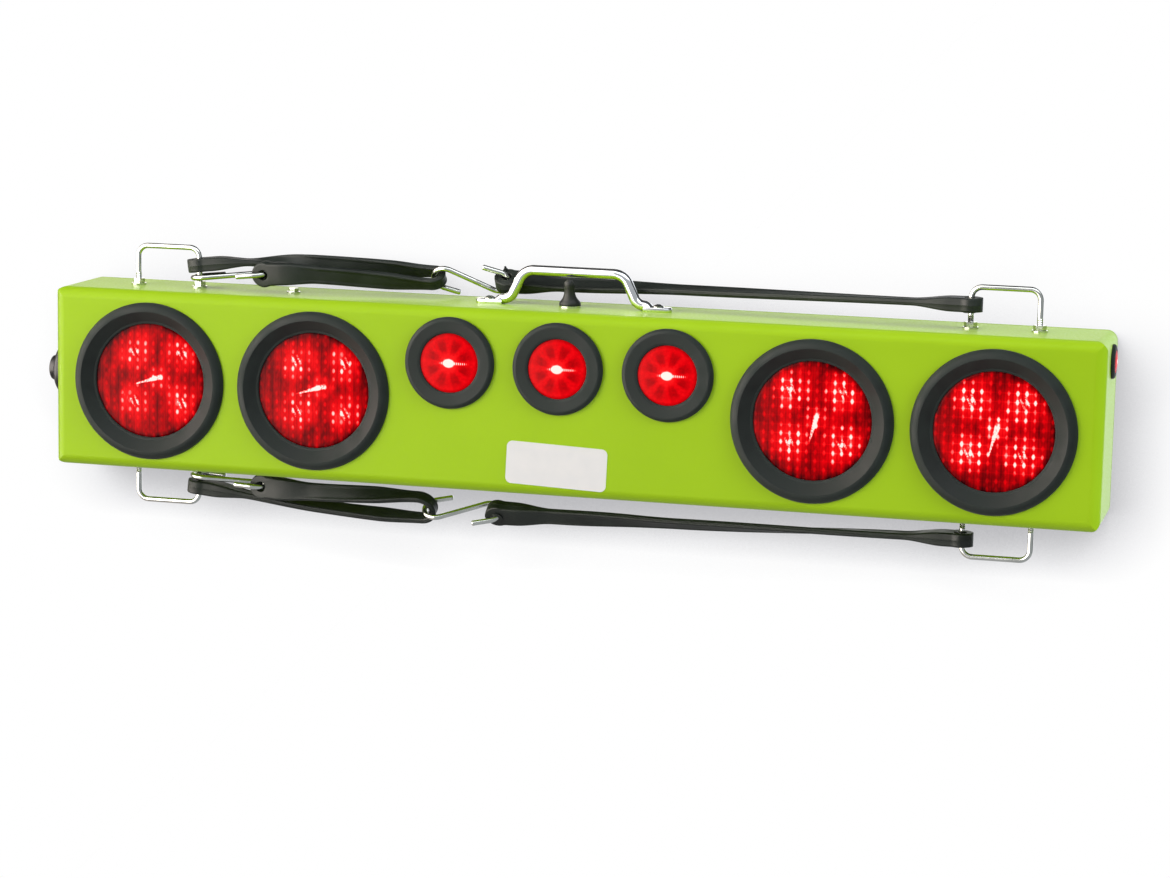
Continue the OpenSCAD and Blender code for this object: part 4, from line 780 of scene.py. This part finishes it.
def doubled_strap(leg_z, slope, middle, step, free, arrive, rolls):
    """Stations (place, roll, half width, half thickness) of a strap that runs to its fold and back."""
    start = Vector((-LEG_X + eye_shift(slope), ROW_Y, leg_z))
    radius = math.hypot(*step) / 2
    turn_x = FOLD_X - radius
    rear = Vector((turn_x, middle[0] - step[0] / 2, middle[1] - step[1] / 2))
    front = Vector((turn_x, middle[0] + step[0] / 2, middle[1] + step[1] / 2))
    end = Vector((FREE_X, free[0], free[1]))
    run, back = turn_x - start.x, turn_x - end.x
    out = []
    for s in steps(0, 24, 16) + steps(24, run, 90):
        out.append((run_at(start, Vector((1, 0, slope)).normalized(), rear, Vector((1, 0, 0)), s / run),
                    keyed([(0, rolls[0]), (NECK_L - 8, rolls[0]), (run * 0.55, rolls[1]), (run, rolls[2])], s),
                    eye_width(s) if s < NECK_L else keyed([(run - 40, STRAP_W / 2), (run, FOLD_HW)], s), eye_thick(s)))
    for i in range(25):
        a = math.radians(-90 + 7.5 * i)
        place = Vector((turn_x + radius * math.cos(a), middle[0] + step[0] / 2 * math.sin(a),
                        middle[1] + step[1] / 2 * math.sin(a)))
        out.append((place, rolls[2], FOLD_HW, FOLD_HT))
    for s in steps(0, back - 24, 60)[1:] + steps(back - 24, back, 16) + [back]:
        out.append((run_at(front, Vector((-1, 0, 0)), end, arrive, s / back),
                    keyed([(0, rolls[2]), ((back - NECK_L) * 0.8, rolls[3]), (back - 20, rolls[4])], s),
                    eye_width(back - s) if s > back - NECK_L else keyed([(0, FOLD_HW), (40, STRAP_W / 2)], s),
                    eye_thick(back - s)))
    return out


def single_strap(leg_z, eye, bend_x, rolls):
    """Stations of a strap that runs from the right bail, past the handle, to its free eye."""
    start = Vector((LEG_X - eye_shift(0), ROW_Y, leg_z))
    length, to_bend = start.x - eye.x, start.x - bend_x
    bend_z = mix(leg_z, eye.z, 0.8)
    out = []
    for s in steps(0, 24, 16) + steps(24, length - 24, 150) + steps(length - 24, length, 16) + [length]:
        y = keyed([(0, start.y), (to_bend, eye.y)], s)
        z = keyed([(0, start.z), (to_bend, bend_z), (length - NECK_L, eye.z)], s)
        near = min(s, length - s)
        out.append((Vector((start.x - s, y, z)),
                    keyed([(NECK_L, rolls[0]), (length * 0.6, rolls[1]), (length * 0.85, rolls[2])], s),
                    eye_width(near), eye_thick(near)))
    return out


def strap_section(hw, ht, rib):
    """Cross-section with round corners, a moulding seam on both edges and a low rib along each edge."""
    r = min(1.7, hw * 0.98, ht * 0.98)
    corner = [(hw - r + r * math.cos(q), ht - r + r * math.sin(q)) for q in [math.pi / 2 * k / 5 for k in range(6)]]
    ribbed = [(hw - r - 0.5, ht), (hw - r - 1.0, ht - rib), (max(hw - r - 2.5, hw * 0.2), ht - rib)] if hw > 4.5 else [
        (hw * 0.5, ht), (hw * 0.3, ht), (hw * 0.15, ht)]
    quarter = [(hw + 0.22, 0), (hw, 0.45)] + corner + ribbed
    upper = quarter + [(-x, y) for x, y in reversed(quarter)]
    return upper + [(-x, -y) for x, y in upper[1:-1]]


def across(t, roll):
    """Direction of a strap's width, square to its run t, for a roll in degrees."""
    w = Vector((0, math.cos(math.radians(roll)), math.sin(math.radians(roll))))
    return (w - t * w.dot(t)).normalized()


def bored(obj, cutters):
    """Cuts turned cutters out of a piece."""
    for cutter in cutters:
        cut = obj.modifiers.new("bore", "BOOLEAN")
        cut.object, cut.operation, cut.solver = cutter, "DIFFERENCE", "EXACT"
    bpy.context.view_layer.update()
    shaped = bpy.data.meshes.new_from_object(obj.evaluated_get(bpy.context.evaluated_depsgraph_get()))
    obj.modifiers.clear()
    old, obj.data = obj.data, shaped
    bpy.data.meshes.remove(old)
    for cutter in cutters:
        bpy.data.objects.remove(cutter)
    for polygon in obj.data.polygons:
        polygon.use_smooth = True
    obj.data.set_sharp_from_angle(angle=math.radians(48))


def make_strap(name, stations, node):
    """A moulded strap: a dog-bone eye with a flared hole at both ends of a flat ribbed band."""
    first, last = stations[0], stations[-1]
    t0 = (stations[1][0] - first[0]).normalized()
    t1 = (last[0] - stations[-2][0]).normalized()
    heads, tails = [], []
    for q in [math.radians(a) for a in (86, 76, 66, 56, 46, 36, 26, 13)]:
        heads.append((first[0] - t0 * (EYE_R * math.sin(q)), first[1], EYE_R * math.cos(q), first[3], t0))
        tails.insert(0, (last[0] + t1 * (EYE_R * math.sin(q)), last[1], EYE_R * math.cos(q), last[3], t1))
    body = []
    for i, (p, roll, hw, ht) in enumerate(stations):
        t = (stations[min(i + 1, len(stations) - 1)][0] - stations[max(i - 1, 0)][0]).normalized()
        body.append((p, roll, hw, ht, t))
    rings = []
    for p, roll, hw, ht, t in heads + body + tails:
        w = across(t, roll)
        u = t.cross(w)
        rib = 0.35 * max(0.0, min(1.0, (4.5 - ht) / 1.5))
        rings.append([p + w * x + u * y for x, y in strap_section(hw, ht, rib)])
    points, faces = rings_to_mesh(rings)
    obj = piece(name, points, faces, strap_skin)
    cutters = []
    for (p, roll, hw, ht), t in ((first, t0), (last, t1)):
        w = across(t, roll)
        u = t.cross(w)
        arc = [math.pi / 2 * k / 5 for k in range(5, -1, -1)]
        profile = [(EYE_HOLE + EYE_FLARE, -ht - 1)]
        profile += [(EYE_HOLE + EYE_FLARE * (1 - math.cos(q)), -ht + EYE_FLARE * (1 - math.sin(q)) - 0.02) for q in arc]
        profile += [(r, -h) for r, h in reversed(profile)]
        turn = Matrix((t, w, u)).transposed()
        bore = [[p + turn @ q for q in layer] for layer in turned(profile, 40)]
        cutters.append(piece("cutter", *rings_to_mesh(bore), strap_skin, body=None))
    bored(obj, cutters)
    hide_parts(node)
    # Nub that the mould leaves near the rim of the last eye
    profile = [(2.5, -0.5), (2.0, 0.8), (1.2, 2.0), (0.9, 3.8), (0.4, 4.2)]
    root = p + t * 3 - w * 8.2
    rings = [[root + turn @ Vector((v.x, v.y, v.z + ht)) for v in layer] for layer in turned(profile, 16)]
    bump = piece(name + "_nub", *rings_to_mesh(rings), strap_skin)


def hook_points(span, flare):
    """Path of an S-hook in its own plane, left bend about the origin and right bend about (span, 0)."""
    lean, out = math.acos(2 * HOOK_R / span), math.radians(270 - flare)
    bend = [Vector((HOOK_R * math.cos(a), HOOK_R * math.sin(a)))
            for a in [out + (lean - out) * i / 40 for i in range(41)]]
    tip = Vector((-math.sin(out), math.cos(out)))
    half = [bend[0] + tip * (HOOK_TIP * (1 - i / 8)) for i in range(8)] + bend
    return half + [Vector((span, 0)) - p for p in reversed(half)]


def make_hook(name, start, end, up, flare, node):
    """An S-hook between the middles of its two bends, lying in the plane of its run and up."""
    x = (end - start).normalized()
    y = (up - x * x.dot(up)).normalized()
    path = [start + x * p.x + y * p.y for p in hook_points((end - start).length, flare)]
    obj = piece(name, *rings_to_mesh(round_rod(path, WIRE_R)), zinc)
    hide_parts(node)


def seat_x(step):
    """Where the middle of a hook's bend lies, when the bend is pulled into a strap's fold."""
    half = math.hypot(*step) / 2
    into_fold = math.sqrt((half - FOLD_HT) ** 2 - (WIRE_R + GAP) ** 2)
    into_bend = math.sqrt((HOOK_R - WIRE_R - GAP) ** 2 - FOLD_HW ** 2)
    return FOLD_X - half + into_fold + into_bend


def fold_up(step):
    """Direction square to a fold's step, in which the hook that it holds stands up."""
    return Vector((0, -abs(step[1]), -step[0] if step[1] < 0 else step[0])).normalized()


top_seat, low_seat = Vector((seat_x(TOP_STEP), *TOP_ROW)), Vector((seat_x(LOW_STEP), *LOW_ROW))
top_up, low_up = fold_up(TOP_STEP), fold_up(LOW_STEP)
top_tilt, low_tilt = math.degrees(math.acos(top_up.z)), math.degrees(math.acos(low_up.z))
hook_leg = -LEG_X - 2 * WIRE_R - GAP + HOOK_R
top_from, low_from = Vector((hook_leg, ROW_Y, HALF_H + 10)), Vector((hook_leg, ROW_Y, -HALF_H - 10))


def crown(start, eye):
    """Middle of the free bend of a hook on a bail's leg, which holds an eye at its crown."""
    return eye - (eye - start).normalized() * (HOOK_R - EYE_SEAT)


top_to, low_to = crown(top_from, Vector((FREE_X, *TOP_FREE))), crown(low_from, Vector((FREE_X, *LOW_FREE)))
span, to_eye = Vector((HOOK_SPAN, 0, 0)), Vector((HOOK_SPAN + HOOK_R - EYE_SEAT, 0, 0))
forward = Vector((0, -1, 0))

TOP_LEG, LOW_LEG = HALF_H + 20, -HALF_H - 20.2
top_left = doubled_strap(TOP_LEG, 0.14, TOP_ROW, TOP_STEP, TOP_FREE, (top_from - top_to).normalized(),
                         (0, 90, 90 + top_tilt, 105, 97))
low_left = doubled_strap(LOW_LEG, -0.1, LOW_ROW, LOW_STEP, LOW_FREE, (low_from - low_to).normalized(),
                         (0, 22, low_tilt - 90, 70, 90))
top_right = single_strap(TOP_LEG, top_seat + to_eye, 60, (180, 192, 180 + top_tilt))
low_right = single_strap(LOW_LEG, low_seat + to_eye, 60, (180, 150, low_tilt))
make_strap("top_left_strap", top_left, "strap_top_left")
make_strap("bottom_left_strap", low_left, "strap_bottom_left")
make_strap("top_right_strap", top_right, "strap_top_right")
make_strap("bottom_right_strap", low_right, "strap_bottom_right")
make_hook("top_left_hook", top_from, top_to, forward, 12, "hook_top_left")
make_hook("bottom_left_hook", low_from, low_to, forward, 12, "hook_bottom_left")
make_hook("top_middle_hook", top_seat, top_seat + span, top_up, 18, "hook_top_middle")
make_hook("bottom_middle_hook", low_seat, low_seat + span, low_up, 18, "hook_bottom_middle")


# Switch boot: a bell over the nut, drawn in to a neck that follows the lever

def make_boot():
    """The boot, leaning forward with the lever at rest. Up its neck it blends from the board to the lever."""
    foot = Vector((-3, ROW_Y, HALF_H + 1.5))
    profile = [(9.2, 0), (9.25, 0.9), (9.2, 2.2), (8.9, 3.0), (8.1, 3.9), (7.2, 5.0), (6.3, 6.4), (5.6, 7.8),
               (5.1, 9.2), (4.75, 10.6), (4.5, 12.2), (4.4, 14.0), (4.5, 15.6), (4.6, 17.0), (4.55, 18.2),
               (4.2, 19.6), (3.5, 20.9), (2.5, 21.8), (1.2, 22.3), (0.2, 22.4)]

    def lean(height):
        bend = ease(min(max((height - 2) / 6, 0), 1))
        return Vector((0, -max(height - 1, 0) * math.tan(math.radians(12)) * bend, 0))

    rings = [[p + foot for p in ring] for ring in turned(profile, 48, lean)]
    obj = piece("switch_boot_bell", *rings_to_mesh(rings), FINISHES["switch_boot"], body=None)
    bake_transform(obj)
    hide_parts("switch_boot")


make_boot()
